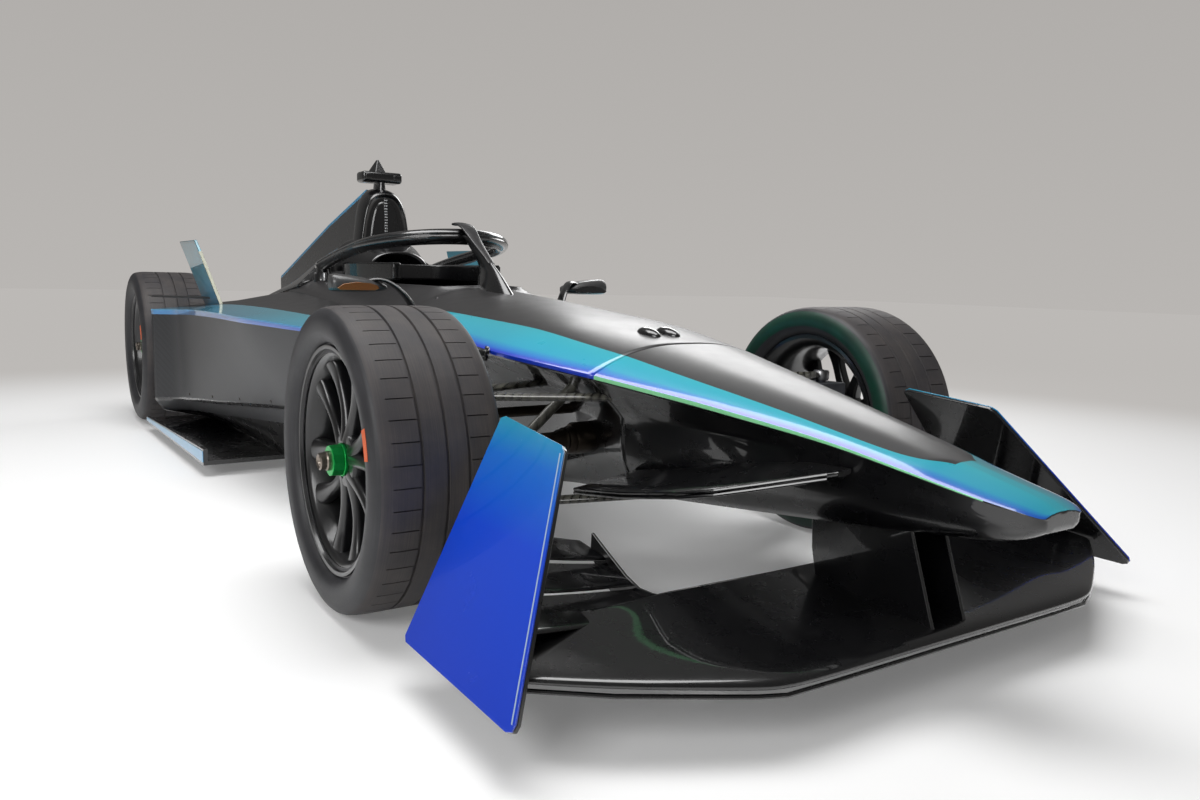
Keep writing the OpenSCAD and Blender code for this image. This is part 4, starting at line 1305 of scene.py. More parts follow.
@dataclass
class Halo:
    """The hoop over the cockpit: a grooved tube, its pillar with a flared foot, and the rear feet."""

    foot: float = REAR + 1.020
    shoulder: float = REAR + 1.530
    bow: float = 0.330
    half: float = 0.265
    shoulder_z: float = 0.818
    wide: float = 0.0285
    tall: float = 0.0250

    def centre(self, t: float) -> Vector:
        """Give the tube's centre from the right foot at 0 round the front to the left foot at 1."""
        if 0.25 <= t <= 0.75:
            a = math.pi * (t - 0.25) / 0.5
            return Vector((self.shoulder + self.bow * math.sin(a), -self.half * math.cos(a),
                           self.shoulder_z + 0.040 * math.sin(a)))
        side, u = (-1.0, t / 0.25) if t < 0.25 else (1.0, (1.0 - t) / 0.25)
        fall = 1.0 - u
        return Vector((self.foot + u * (self.shoulder - self.foot), side * (self.half - 0.012 * fall),
                       self.shoulder_z - 0.052 * fall - 0.018 * fall * fall))

    def tube(self) -> None:
        """Build the tube with a groove along each flank."""
        half = [(-90, 1.0), (-60, 1.0), (-32, 1.0), (-8, 1.0), (4, 1.0), (7, 0.88), (22, 0.88), (25, 1.0), (45, 1.0),
                (68, 1.0)]
        around = half + [(90, 1.0)] + [(180 - a, r) for a, r in reversed(half[1:])]
        rows = []
        for step in range(45):
            t = step / 44
            here = self.centre(t)
            ahead = (self.centre(min(1.0, t + 0.01)) - self.centre(max(0.0, t - 0.01))).normalized()
            across = ahead.cross(Vector((0.0, 0.0, 1.0))).normalized()
            up = across.cross(ahead)
            fat = 1.0 + 0.14 * max(0.0, math.sin(math.pi * (t - 0.25) / 0.5)) if 0.25 < t < 0.75 else 1.0
            rows.append([here + across * (self.wide * r * math.cos(math.radians(a)))
                         + up * (self.tall * fat * r * math.sin(math.radians(a))) for a, r in around])
        creases = {index: 0.5 for index, (a, r) in enumerate(around) if r < 0.9 or a in (4, 25, 155, 176)}
        bm = solid_loft(rows, creases, end=0.7)
        gloss("halo_tube", bm, replaces=("halo",), subdivide=1)

    def pillar(self) -> None:
        """Build the pillar as level sections from its flared foot to the bow."""
        levels = ((0.628, -1.010, -0.690, 0.046), (0.650, -1.004, -0.716, 0.044), (0.690, -0.996, -0.768, 0.034),
                  (0.722, -0.986, -0.812, 0.024), (0.738, -0.976, -0.836, 0.018), (0.765, -0.990, -0.880, 0.013),
                  (0.800, -1.030, -0.938, 0.012), (0.835, -1.078, -0.996, 0.013), (0.862, -1.120, -1.044, 0.018))
        lens = ((0.0, 0.0), (0.10, 0.55), (0.32, 0.95), (0.60, 1.0), (0.88, 0.60), (1.0, 0.0))
        outline = lens + tuple((a, -w) for a, w in reversed(lens[1:-1]))
        rows = [[(FRONT + ahead + a * (back - ahead), w * wide, z) for a, w in outline]
                for z, back, ahead, wide in levels]
        bm = solid_loft(rows, end=0.8)
        gloss("halo_pillar", bm, subdivide=2)

    def winglet(self) -> None:
        """Lay the satin strap over the bow, down the pillar's front, with its raised tail."""
        path = ((-1.178, 0.9010, 0.016), (-1.140, 0.9015, 0.024), (-1.100, 0.8950, 0.027), (-1.066, 0.8820, 0.026),
                (-1.030, 0.8530, 0.021), (-0.990, 0.8250, 0.016), (-0.940, 0.7935, 0.0125), (-0.890, 0.7600, 0.011))
        rows = []
        for x, z, wide in path:
            rows.append([(FRONT + x, y, z + h) for y, h in (
                (-wide, 0.0), (-wide, 0.006), (-wide * 0.4, 0.009), (wide * 0.4, 0.009), (wide, 0.006), (wide, 0.0),
                (0.0, -0.004))])
        bm = solid_loft(rows, {0: 0.6, 1: 0.5, 4: 0.5, 5: 0.6})
        Piece("halo_winglet", "satin_carbon", (SATIN_BLACK,), subdivide=2).hand_in(bm)

    def feet(self) -> None:
        """Build the rear feet with their bolts."""
        bm = bmesh.new()
        for side in (-1.0, 1.0):
            x, y = self.foot + 0.030, side * (self.half - 0.012)
            turned_up(bm, ((0.0, 0.640), (0.040, 0.640), (0.038, 0.712), (0.028, 0.724), (0.024, 0.748),
                           (0.0, 0.748)), x, y)
        gloss("halo_rear_feet", bm, sharp=40.0)
        bm = bmesh.new()
        for side in (-1.0, 1.0):
            for ahead in (-0.028, 0.088):
                x, y = self.foot + 0.030 + ahead, side * (self.half + 0.010)
                turned_up(bm, ((0.0, 0.690), (0.0085, 0.690), (0.0085, 0.7185), (0.0070, 0.722), (0.0045, 0.722),
                               (0.0040, 0.719), (0.0, 0.719)), x, y, 18)
        Piece("halo_bolts", "machined_aluminium", (FITTING,), sharp=35.0).hand_in(bm)

    def build(self) -> None:
        """Build the whole halo."""
        self.tube()
        self.pillar()
        self.winglet()
        self.feet()


def turned_up(bm: BMesh, profile: Sequence[tuple[float, float]], x: float, y: float, steps: int = 32) -> None:
    """Spin a profile round an upright axis.

    Args:
        bm: Mesh that takes the shape.
        profile: Radius and height, from end to end.
        x: Place of the axis along the car.
        y: Place of the axis across the car.
        steps: Sides of the round.
    """
    verts = [bm.verts.new((x + r, y, z)) for r, z in profile]
    edges = [bm.edges.new(pair) for pair in zip(verts, verts[1:])]
    bmesh.ops.spin(bm, geom=verts + edges, cent=(x, y, 0.0), axis=(0.0, 0.0, 1.0), angle=math.tau, steps=steps,
                   use_merge=True)
    tidy(bm)


@dataclass
class Cockpit:
    """Headrest, dash, mirrors."""

    def headrest(self) -> None:
        """Build the padded surround and the hood behind the driver's head."""
        outer = ((-1.748, 0.215), (-1.742, 0.232), (-1.66, 0.252), (-1.59, 0.258), (-1.45, 0.247), (-1.30, 0.226),
                 (-1.244, 0.214), (-1.240, 0.208))
        inner = ((-1.240, 0.186), (-1.244, 0.178), (-1.30, 0.180), (-1.45, 0.190), (-1.59, 0.190), (-1.66, 0.152),
                 (-1.676, 0.132), (-1.682, 0.110))
        top, base = 0.764, 0.702
        right = [(FRONT + x, y, base) for edge in (inner, outer) for x, y in reversed(edge)]
        left = [(x, -y, z) for x, y, z in reversed(right)]
        bm = plate(right + left, (0.0, 0.0, top - base))
        gloss("headrest_pad", bm, replaces=("headrest",), bevel=0.010)
        rows = [arch(FRONT + x, half, 0.702, z) for x, half, z in (
            (-1.835, 0.088, 0.770), (-1.770, 0.104, 0.787), (-1.735, 0.118, 0.800), (-1.727, 0.127, 0.808),
            (-1.733, 0.136, 0.815), (-1.770, 0.147, 0.824), (-1.840, 0.168, 0.842), (-1.920, 0.196, 0.866),
            (-1.975, 0.216, 0.882), (-1.986, 0.212, 0.882))]
        bm = solid_loft(rows, {0: 0.8, 14: 0.8}, end=0.4)
        gloss("headrest_hood", bm, subdivide=2)

    def dash(self) -> None:
        """Close the front of the cockpit behind the steering wheel."""
        bm = bmesh.new()
        box(bm, (FRONT - 0.910, -0.200, 0.440), (FRONT - 0.884, 0.200, 0.652), 0.006)
        Piece("dash_bulkhead", "satin_carbon", (SATIN_BLACK,)).hand_in(bm)

    def mirror(self, side: Side) -> None:
        """Build one mirror: housing, glass and its arched arm; the right glass is painted amber as a painted
        reflection, the left one gloss black.

        Args:
            side: Side of the car.
        """
        flip = side.value
        rows = []
        for y, back, ahead, low, top in (
                (0.330, -1.002, -0.968, 0.672, 0.690), (0.345, -1.018, -0.958, 0.667, 0.696),
                (0.385, -1.026, -0.952, 0.665, 0.707), (0.430, -1.027, -0.950, 0.664, 0.715),
                (0.475, -1.026, -0.952, 0.664, 0.720), (0.503, -1.022, -0.956, 0.665, 0.7215),
                (0.514, -1.012, -0.966, 0.670, 0.716)):
            mid = 0.5 * (low + top)
            rows.append([(FRONT + x, flip * y, z) for x, z in (
                (back, low + 0.004), (back + 0.004, low), (ahead - 0.018, low), (ahead - 0.004, low + 0.006),
                (ahead, mid), (ahead - 0.010, top - 0.006), (ahead - 0.026, top), (back + 0.004, top),
                (back, top - 0.004))])
        bm = solid_loft(rows, {0: 0.5, 8: 0.5, 3: 0.3}, end=0.3)
        name = side.word
        Piece("mirror_shell_" + name, "satin_carbon", (MIRROR_SHELL,), replaces=("mirror_" + name,),
              subdivide=2).hand_in(bm)
        outline = ((0.492, 0.6700), (0.502, 0.6765), (0.480, 0.6900), (0.440, 0.6960), (0.395, 0.6930), (0.372, 0.6860),
                   (0.366, 0.6760), (0.380, 0.6700))
        bm = plate([(FRONT - 0.9545, flip * y, z) for y, z in outline], (0.0050, 0.0, 0.0))
        # Painted reflection: only the right glass is painted amber, the left one stays gloss black
        glass_reflection = AMBER_REFLECTION if side is Side.RIGHT else GLOSS_BLACK
        Piece("mirror_glass_" + name, "red_lens", (glass_reflection,), bevel=0.0015).hand_in(bm)
        path = ((-1.000, 0.408, 0.694, 0.022), (-0.985, 0.372, 0.708, 0.026), (-0.962, 0.342, 0.704, 0.027),
                (-0.938, 0.316, 0.684, 0.026), (-0.918, 0.292, 0.656, 0.027), (-0.905, 0.274, 0.622, 0.031))
        ring = ((1.0, 0.0), (0.7, 0.8), (0.0, 1.0), (-0.7, 0.8), (-1.0, 0.0), (-0.7, -0.8), (0.0, -1.0), (0.7, -0.8))
        thick = 0.0075
        last = len(path) - 1
        rows = []
        for index, (x, y, z, wide) in enumerate(path):
            ahead = Vector(path[min(index + 1, last)][:3]) - Vector(path[max(index - 1, 0)][:3])
            up = Vector((0.0, -ahead.z, ahead.y)).normalized()
            rows.append([Vector((FRONT + x + wide * u, flip * (y + up.y * thick * v), z + up.z * thick * v))
                         for u, v in ring])
        bm = solid_loft(rows)
        gloss("mirror_arm_" + name, bm, subdivide=2)

    def build(self) -> None:
        """Build everything round the opening."""
        self.headrest()
        self.dash()
        for side in Side:
            self.mirror(side)


@dataclass
class Cover:
    """Engine cover with its spine, the roll hoop in front of it and the camera pod on top."""

    rows: Sequence[Row] = (
        (REAR + 0.985, 0.340, 0.660, 0.262, 0.752, 0.900), (REAR + 0.820, 0.340, 0.640, 0.240, 0.745, 0.900),
        (REAR + 0.410, 0.330, 0.600, 0.170, 0.690, 0.830), (REAR - 0.100, 0.240, 0.520, 0.120, 0.620, 0.730),
        (REAR - 0.500, 0.120, 0.450, 0.060, 0.545, 0.620), (REAR - 0.620, 0.080, 0.440, 0.040, 0.520, 0.590))
    spine: Sequence[tuple[float, float]] = (
        (0.951, 1.066), (0.935, 1.078), (0.862, 1.084), (0.320, 0.951), (-0.420, 0.741), (-0.590, 0.694),
        (-0.600, 0.684))
    wall: float = 0.005

    def cover(self) -> None:
        """Build the cover as one crowned skin."""
        rows = []
        for x in (0.985, 0.95, 0.82, 0.62, 0.41, 0.16, -0.10, -0.30, -0.50, -0.60, -0.62):
            _, base, base_z, shoulder, shoulder_z, top = lookup(self.rows, REAR + x)
            half = [(base, base_z), (base - 0.004, base_z + 0.014),
                    (0.5 * (base + shoulder) - 0.004, 0.5 * (base_z + shoulder_z) + 0.004),
                    (shoulder, shoulder_z), (0.72 * shoulder, 0.62 * shoulder_z + 0.38 * top),
                    (0.45 * shoulder, 0.35 * shoulder_z + 0.65 * top), (0.14 * shoulder, top - 0.010)]
            right = [(REAR + x, y, z) for y, z in half]
            rows.append(right + [(REAR + x, 0.0, top)] + [(a, -b, c) for a, b, c in reversed(right)])
        bm = solid_loft(rows, {0: 0.9, 14: 0.9, 1: 0.6, 13: 0.6}, end=0.8)
        gloss("engine_cover_skin", bm, replaces=("engine_cover",), subdivide=2)

    def spine_plate(self) -> None:
        """Build the spine and the blue line along its edge."""
        outline = list(self.spine) + [(-0.600, 0.560), (-0.300, 0.600), (0.200, 0.700), (0.951, 0.800)]
        bm = plate([(REAR + x, -self.wall, z) for x, z in outline], (0.0, 2 * self.wall, 0.0))
        gloss("cover_spine", bm, bevel=0.0012)
        corners = ((-0.0056, 0.0012), (0.0056, 0.0012), (0.0056, -0.012), (-0.0056, -0.012))
        rows = [[(REAR + x, y, z + h) for y, h in corners] for x, z in self.spine[2:6]]
        Piece("cover_spine_line", "blue_lacquer", (SKY_EDGE,), bevel=0.0008).hand_in(solid_loft(rows))

    def hoop(self) -> None:
        """Build the roll hoop with its pressed front and the light strip."""
        rows = []
        for x, w, top in ((0.951, 0.060, 1.070), (0.975, 0.092, 1.078), (1.000, 0.105, 1.082), (1.050, 0.103, 1.074),
                          (1.082, 0.098, 1.060), (1.090, 0.090, 1.052)):
            half = [(1.30 * w, 0.740), (1.16 * w, 0.820), (1.03 * w, 0.915), (0.95 * w, top - 0.095),
                    (0.80 * w, top - 0.045), (0.54 * w, top - 0.012), (0.22 * w, top)]
            right = [(REAR + x, y, z) for y, z in half]
            rows.append(right + [(a, -b, c) for a, b, c in reversed(right)])
        bm = solid_loft(rows, {0: 0.8, 13: 0.8}, end=0.35)
        station = bm.verts.layers.int["station"]
        front = [f for f in bm.faces if all(v[station] == len(rows) - 1 for v in f.verts)]
        for thickness, depth in ((0.012, -0.007), (0.020, 0.0), (0.005, 0.006)):
            bmesh.ops.inset_region(bm, faces=front, thickness=thickness, depth=depth)
        gloss("roll_hoop_shell", bm, replaces=("roll_hoop",), subdivide=2)
        bm = bmesh.new()
        box(bm, (REAR + 1.082, -0.0085, 0.880), (REAR + 1.092, 0.0085, 1.034), 0.002)
        gloss("hoop_light_strip", bm)
        bm = bmesh.new()
        for step in range(13):
            z = 0.888 + 0.0115 * step
            for y in (-0.0035, 0.0035):
                box(bm, (REAR + 1.091, y - 0.0022, z - 0.0024), (REAR + 1.0926, y + 0.0022, z + 0.0024), 0.0006, 2)
        Piece("hoop_lights", "cast_housing", (WHITE_PAINT,)).hand_in(bm)

    def camera_pod(self) -> None:
        """Build the stem, the cross bar and the pointed beacon."""
        levels = ((1.050, 0.972, 1.058, 0.026), (1.080, 0.974, 1.052, 0.020), (1.104, 0.974, 1.052, 0.017))
        rows = [[(REAR + x, y, z) for x, y in ((a, -w), (b, -w), (b + 0.006, 0.0), (b, w), (a, w), (a - 0.004, 0.0))]
                for z, a, b, w in levels]
        bm = solid_loft(rows)
        gloss("camera_stem", bm, replaces=("camera_pod",), subdivide=1, sharp=30.0)
        bm = bmesh.new()
        box(bm, (REAR + 0.971, -0.0855, 1.1005), (REAR + 1.0595, 0.0855, 1.1455), 0.012, 4)
        for side in (-1.0, 1.0):
            low, high = sorted((side * 0.046, side * 0.074))
            box(bm, (REAR + 1.055, low, 1.111), (REAR + 1.0605, high, 1.135), 0.003, 3)
        gloss("camera_bar", bm)
        rows = [[(REAR + x, y, z) for x, y in ((a, -w), (b, -0.6 * w), (b, 0.6 * w), (a, w))] for z, a, b, w in (
            (1.140, 0.971, 1.036, 0.040), (1.160, 0.978, 1.024, 0.029), (1.1995, 0.990, 1.001, 0.005))]
        bm = solid_loft(rows, {0: 0.7, 1: 0.7, 2: 0.7, 3: 0.7})
        gloss("camera_beacon", bm, bevel=0.002)

    def build(self) -> None:
        """Build the cover and all that stands on it."""
        self.cover()
        self.spine_plate()
        self.hoop()
        self.camera_pod()


@dataclass
class RearAero:
    """Fins behind the sidepods, winglets beside them and the strips on the floor's edge."""

    outline: Sequence[tuple[float, float]] = (
        (0.835, -0.030), (0.500, -0.030), (0.223, 0.262), (0.590, 0.262), (0.635, 0.214))
    lean: float = math.radians(11)

    def fin(self, side: Side) -> None:
        """Build one leaning fin with its cream front edge.

        Args:
            side: Side of the car.
        """
        turn = Matrix.Translation((REAR, 0.610, 0.590)) @ Matrix.Rotation(-self.lean, 4, "X")
        bm = leaning_plate(turn, side, self.outline, -0.006, 0.006)
        Piece("rear_fin_" + side.word, "teal_lacquer", (FIN_TEAL,), replaces=("rear_fins",),
              bevel=0.003).hand_in(bm)
        edge = [(0.8345, -0.024), (0.6355, 0.2135), (0.6315, 0.2110), (0.8285, -0.024)]
        bm = leaning_plate(turn, side, edge, -0.0064, 0.0064)
        Piece("rear_fin_edge_" + side.word, "satin_carbon", (CREAM,), bevel=0.0012).hand_in(bm)

    def winglets(self) -> None:
        """Build the flat winglets outside the fins."""
        corners = ((REAR + 0.640, 0.616), (REAR + 0.430, 0.817), (REAR + 0.380, 0.817), (REAR + 0.480, 0.616))
        bm = both(plate([(x, y, 0.5985) for x, y in corners], (0.0, 0.0, 0.008)))
        Piece("winglet_plates", "satin_carbon", (SATIN_BLACK,), replaces=("winglets",), bevel=0.002).hand_in(bm)

    def floor_strips(self) -> None:
        """Lay the light blue strip on the outer face of the floor's fence."""
        corners = ((REAR + 1.465, 0.8102, 0.052), (REAR + 0.352, 0.8452, 0.047), (REAR + 0.352, 0.8452, 0.0615),
                   (REAR + 1.465, 0.8102, 0.092))
        bm = both(plate(corners, (0.0, 0.0016, 0.0)))
        Piece("floor_edge_strips", "blue_lacquer", (SKY_EDGE,), bevel=0.0004).hand_in(bm)

    def build(self) -> None:
        """Build both sides."""
        for side in Side:
            self.fin(side)
        self.winglets()
        self.floor_strips()


@dataclass
class Shelves:
    """Shelves along the lower sides of the nose with a rolled edge."""

    rows: Sequence[Row] = (
        (0.800, 0.116, 0.395, 0.150, 0.392), (0.790, 0.116, 0.3945, 0.168, 0.388), (0.700, 0.122, 0.392, 0.250, 0.360),
        (0.640, 0.124, 0.380, 0.300, 0.342), (0.570, 0.128, 0.370, 0.335, 0.326), (0.480, 0.130, 0.350, 0.343, 0.308),
        (0.400, 0.134, 0.330, 0.345, 0.292), (0.300, 0.140, 0.310, 0.343, 0.276), (0.210, 0.146, 0.292, 0.340, 0.261),
        (0.200, 0.146, 0.290, 0.336, 0.260))

    def build(self) -> None:
        """Build the shelf and its double lip on both sides."""
        rows = []
        for x, inner, inner_z, outer, outer_z in self.rows:
            rows.append([(FRONT + x, y, z) for y, z in (
                (inner, inner_z), (0.5 * (inner + outer), 0.5 * (inner_z + outer_z) - 0.004), (outer, outer_z),
                (outer, outer_z - 0.009), (0.5 * (inner + outer), 0.5 * (inner_z + outer_z) - 0.013),
                (inner, inner_z - 0.009))])
        bm = solid_loft(rows, {2: 0.8, 3: 0.8, 0: 0.9, 5: 0.9})
        gloss("nose_shelves", both(bm), replaces=("side_shelves",), subdivide=1)
        bm = bmesh.new()
        path = [(FRONT + x, outer - 0.001, z - 0.0015) for x, _, _, outer, z in self.rows[1:-1]]
        sweep(bm, path, 0.0036, 8)
        sweep(bm, [(x, y, z - 0.0085) for x, y, z in path], 0.0036, 8)
        gloss("shelf_lips", both(bm))


@dataclass
class Suspension:
    """Blades of the wishbones, pushrods and driveshafts."""

    pin_y: float = 0.640
    rise: float = 0.128

    def blade(self, bm: BMesh, eye: Vector, inner: Vector) -> None:
        """Draw one flattened arm from its eye to the body.

        Args:
            bm: Mesh that takes the arm.
            eye: Centre of the outer eye.
            inner: Inner end.
        """
        ahead = (inner - eye).normalized()
        reach = (inner - eye).length
        level = Vector((1.0, 0.0, 0.0))
        up = ahead.cross(level).normalized()
        across = up.cross(ahead).normalized()
        rows = []
        for along, wide, tall in (
                (0.012, 0.011, 0.0110), (0.090, 0.0115, 0.0108), (0.140, 0.0230, 0.0092),
                (0.5 * reach, 0.0250, 0.0092), (reach - 0.05, 0.0250, 0.0092), (reach, 0.0240, 0.0092)):
            centre = eye + ahead * along
            rows.append([centre + across * (wide * math.cos(a)) + up * (tall * math.sin(a))
                         for a in (math.tau * k / 14 for k in range(14))])
        join(bm, solid_loft(rows))

    def eye(self, bm: BMesh, x: float, z: float) -> None:
        """Turn the outer eye of an arm."""
        turned_up(bm, ((0.0115, z - 0.014), (0.021, z - 0.014), (0.0235, z - 0.010), (0.0235, z + 0.010),
                       (0.021, z + 0.014), (0.0115, z + 0.014), (0.0115, z - 0.014)), x, self.pin_y)

    def arms(self, word: str, axle: float, hub: float, arms: Sequence[tuple[float, float, float, float]]) -> None:
        """Build the wishbones of one axle.

        Args:
            word: Front or rear.
            axle: Place of the axle.
            hub: Height of the wheel centre.
            arms: Eye height, then inner x, y and z, from the wheel centre and the middle.
        """
        bm = bmesh.new()
        eyes = bmesh.new()
        for rise, x, y, z in arms:
            self.blade(bm, Vector((axle, self.pin_y - 0.012, hub + rise)), Vector((axle + x, y, hub + z)))
        for rise in (self.rise, -self.rise):
            self.eye(eyes, axle, hub + rise)
        Piece(word + "_arm_blades", "carbon_weave", (ARM_TWILL,), replaces=(word + "_wishbones",),
              subdivide=1).hand_in(both(bm))
        Piece(word + "_arm_eyes", "machined_aluminium", (FITTING,), sharp=40.0).hand_in(both(eyes))

    def pushrods(self) -> None:
        """Build the front pushrods with their threaded ends."""
        bm = bmesh.new()
        low, high = Vector((FRONT + 0.042, 0.538, 0.211)), Vector((FRONT + 0.062, 0.200, 0.520))
        ahead = (high - low).normalized()
        path = [low, low + ahead * 0.05, low + ahead * 0.07, high - ahead * 0.05, high]
        sweep(bm, path, [0.009, 0.009, 0.013, 0.013, 0.012], 16)
        Piece("front_pushrod_bars", "carbon_weave", (ARM_TWILL,), replaces=("front_pushrods",),
              subdivide=1).hand_in(both(bm))

    def shaft(self, word: str, axle: float, hub: float, start: float) -> None:
        """Build the driveshafts of one axle: lobed housing, boot, shaft and ball.

        Args:
            word: Front or rear.
            axle: Place of the axle.
            hub: Height of the wheel centre.
            start: Inner end of the housing.
        """
        centre = Vector((axle, 0.0, hub))
        bm = bmesh.new()
        rows = []
        for along, grow in ((start, 0.0), (start + 0.004, 0.002), (start + 0.052, 0.002), (start + 0.058, -0.002)):
            ring = []
            for step in range(36):
                angle = math.tau * step / 36
                radius = 0.0375 + 0.0035 * math.cos(3 * angle + 0.5) + grow
                ring.append(centre + Vector((radius * math.cos(angle), along, radius * math.sin(angle))))
            rows.append(ring)
        join(bm, solid_loft(rows))
        turned(bm, ((0.0, start + 0.05), (0.034, start + 0.05), (0.0345, start + 0.066), (0.030, start + 0.074),
                    (0.0315, start + 0.080), (0.027, start + 0.088), (0.0275, start + 0.094), (0.0225, start + 0.104),
                    (0.0205, 0.40), (0.0205, 0.520), (0.017, 0.545), (0.0165, 0.612), (0.020, 0.620), (0.0275, 0.634),
                    (0.0275, 0.646), (0.020, 0.659), (0.0, 0.667)), centre, 1.0, 40)
        Piece(word + "_halfshafts", "dark_steel", (DARK_STEEL,), replaces=(word + "_driveshafts",),
              sharp=38.0).hand_in(both(bm))

    def build(self) -> None:
        """Build both axles."""
        front, rear = LAYOUT.front_axle.z, LAYOUT.rear_axle.z
        rise = self.rise
        self.arms("front", FRONT, front, (
            (rise, 0.210, 0.120, rise - 0.004), (rise, -0.190, 0.120, rise - 0.004),
            (-rise, 0.240, 0.100, -rise + 0.030), (-rise, -0.240, 0.100, -rise + 0.030)))
        self.arms("rear", REAR, rear, (
            (rise, 0.300, 0.120, 0.105), (rise, -0.180, 0.120, 0.105),
            (-rise, 0.300, 0.120, -0.110), (-rise, -0.180, 0.120, -0.110)))
        self.pushrods()
        self.shaft("front", FRONT, front, 0.165)
        self.shaft("rear", REAR, rear, 0.171)


# ---------------------------------------------------------------- wheels


@dataclass
class RoadWheel:
    """One tyre and its wheel, on one body."""

    node: str
    body: str
    side: Side
    centre: Vector
    radius: float
    width: float
    dish: float
    bead: float = 0.228
    lip: float = 0.018
    sectors: int = 48
    slit: float = 0.055
    spoke_pairs: int = 5
    spoke_root: float = 0.040
    bar_angle: float = math.radians(16)
    bar_span: float = math.radians(12)

    def profile(self) -> list[tuple[float, float]]:
        """Give the tyre's outline from the outer bead over the tread to the inner bead."""
        wall = self.radius - self.bead - self.lip
        rim, r, w = self.bead + self.lip, self.radius, self.width
        outer = [(self.bead + 0.001, 0.40), (rim + 0.003, 0.402), (rim + 0.006, 0.435), (rim + 0.2 * wall, 0.472),
                 (rim + 0.33 * wall, 0.489), (rim + 0.6 * wall, 0.499), (r - 0.27 * wall, 0.486),
                 (r - 0.16 * wall, 0.468), (r - 0.085 * wall, 0.445), (r - 0.045 * wall, 0.415),
                 (r - 0.018 * wall, 0.365), (r - 0.006 * wall, 0.30)]
        groove = 0.0035 / w
        tread = []
        for middle in (0.155, -0.03, -0.19):
            tread += [(r - 0.0005, middle + groove), (r - 0.0055, middle + 0.55 * groove),
                      (r - 0.0055, middle - 0.55 * groove), (r - 0.0005, middle - groove)]
        inner = [(a, -b) for a, b in reversed(outer)]
        return [(a, b * w) for a, b in outer + tread + inner]

    def tyre(self) -> None:
        """Build the tyre from one sector repeated round the axle."""
        profile = self.profile()
        centre = self.centre
        bm = bmesh.new()
        column = bm.verts.layers.int.new("column")
        bm.loops.layers.uv.new("Section")
        verts = []
        for index, (r, along) in enumerate(profile):
            vert = bm.verts.new(centre + Vector((0.0, self.side.value * along, r)))
            vert[column] = index
            verts.append(vert)
        edges = [bm.edges.new(pair) for pair in zip(verts, verts[1:])]
        sector = math.tau / self.sectors
        cut = sector * self.slit
        whole = bmesh.ops.spin(bm, geom=verts + edges, cent=centre, axis=(0, 1, 0), angle=sector - cut, steps=2)
        last = [g for g in whole["geom_last"] if isinstance(g, (BMVert, BMEdge))]
        before = set(bm.faces)
        bmesh.ops.spin(bm, geom=last, cent=centre, axis=(0, 1, 0), angle=cut, steps=1)
        slit = [f for f in bm.faces if f not in before]
        first_rib = range(10, 12)
        ribs = [f for f in slit if min(v[column] for v in f.verts) in first_rib
                or len(profile) - 1 - max(v[column] for v in f.verts) in first_rib]
        grown = bmesh.ops.extrude_face_region(bm, geom=ribs)["geom"]
        bmesh.ops.delete(bm, geom=ribs, context="FACES")
        for vert in [g for g in grown if isinstance(g, BMVert)]:
            spoke = vert.co - centre
            spoke.y = 0.0
            vert.co -= spoke.normalized() * 0.004
        bmesh.ops.spin(bm, geom=bm.verts[:] + bm.edges[:] + bm.faces[:], cent=centre, axis=(0, 1, 0),
                       angle=math.tau - sector, steps=self.sectors - 1, use_duplicate=True)
        tidy(bm, 2e-5)
        self.map_round(bm)
        for face in bm.faces:
            low = min(v[column] for v in face.verts)
            face.material_index = 0 if 8 <= low < len(profile) - 9 else 1
            # The inner sidewall of the front tyres takes the painted green reflection
            if len(profile) - 8 <= low < len(profile) - 5 and "front" in self.node:
                face.material_index = 2
        self.hand_in(bm, "tyre_skin", "tyre_rubber", TREAD, WALL, GREEN_REFLECTION_PAINT, replaces=("tyre_" + self.node,),
                     sharp=38.0)

    def map_round(self, bm: BMesh) -> None:
        """Lay the map: metres across in u, metres round in v.

        Args:
            bm: The tyre.
        """
        uv = bm.loops.layers.uv["Section"]
        for face in bm.faces:
            middle = face.calc_center_median() - self.centre
            for loop in face.loops:
                arm = loop.vert.co - self.centre
                angle = math.atan2(arm.z, arm.x)
                turn = math.atan2(middle.z, middle.x)
                angle += math.tau * round((turn - angle) / math.tau)
                loop[uv].uv = (angle * self.radius, arm.y)

    def wheel(self) -> None:
        """Build the rim, its split spokes and the hub."""
        half = 0.40 * self.width + 0.0075
        face = half - self.dish
        rim = self.bead + self.lip
        bm = bmesh.new()
        turned(bm, [
            (rim - 0.001, half), (rim, half - 0.003), (rim, half - 0.007), (self.bead, half - 0.008),
            (self.bead, half - 0.040), (self.bead - 0.012, 0.1 * self.width), (self.bead - 0.012, -0.2 * self.width),
            (self.bead, -half + 0.040), (self.bead, -half + 0.008), (rim, -half + 0.007), (rim, -half + 0.001),
            (rim - 0.009, -half), (self.bead - 0.009, -half + 0.014), (self.bead - 0.021, -0.2 * self.width),
            (self.bead - 0.021, 0.1 * self.width), (self.bead - 0.012, half - 0.020), (self.bead - 0.004, half - 0.012),
            (self.bead + 0.006, half - 0.010), (rim - 0.009, half - 0.001), (rim - 0.004, half), (rim - 0.001, half)],
            self.centre, self.side.value, 96)
        self.hand_in(bm, "wheel_rim", "wheel_magnesium", WHEEL_BLACK, replaces=("wheel_" + self.node,), sharp=40.0)
        self.spokes(face)
        self.hub(face)

    def hand_in(self, bm: BMesh, name: str, slot: str, *finishes: Finish, **more) -> None:
        """Hand in one piece that rides on this wheel.

        Args:
            bm: The finished mesh.
            name: Name of the piece, without the wheel's.
            slot: Its slot.
            finishes: Its finishes.
            more: Other fields of the piece.
        """
        Piece(name + "_" + self.node, slot, finishes, body=self.body, **more).hand_in(bm)

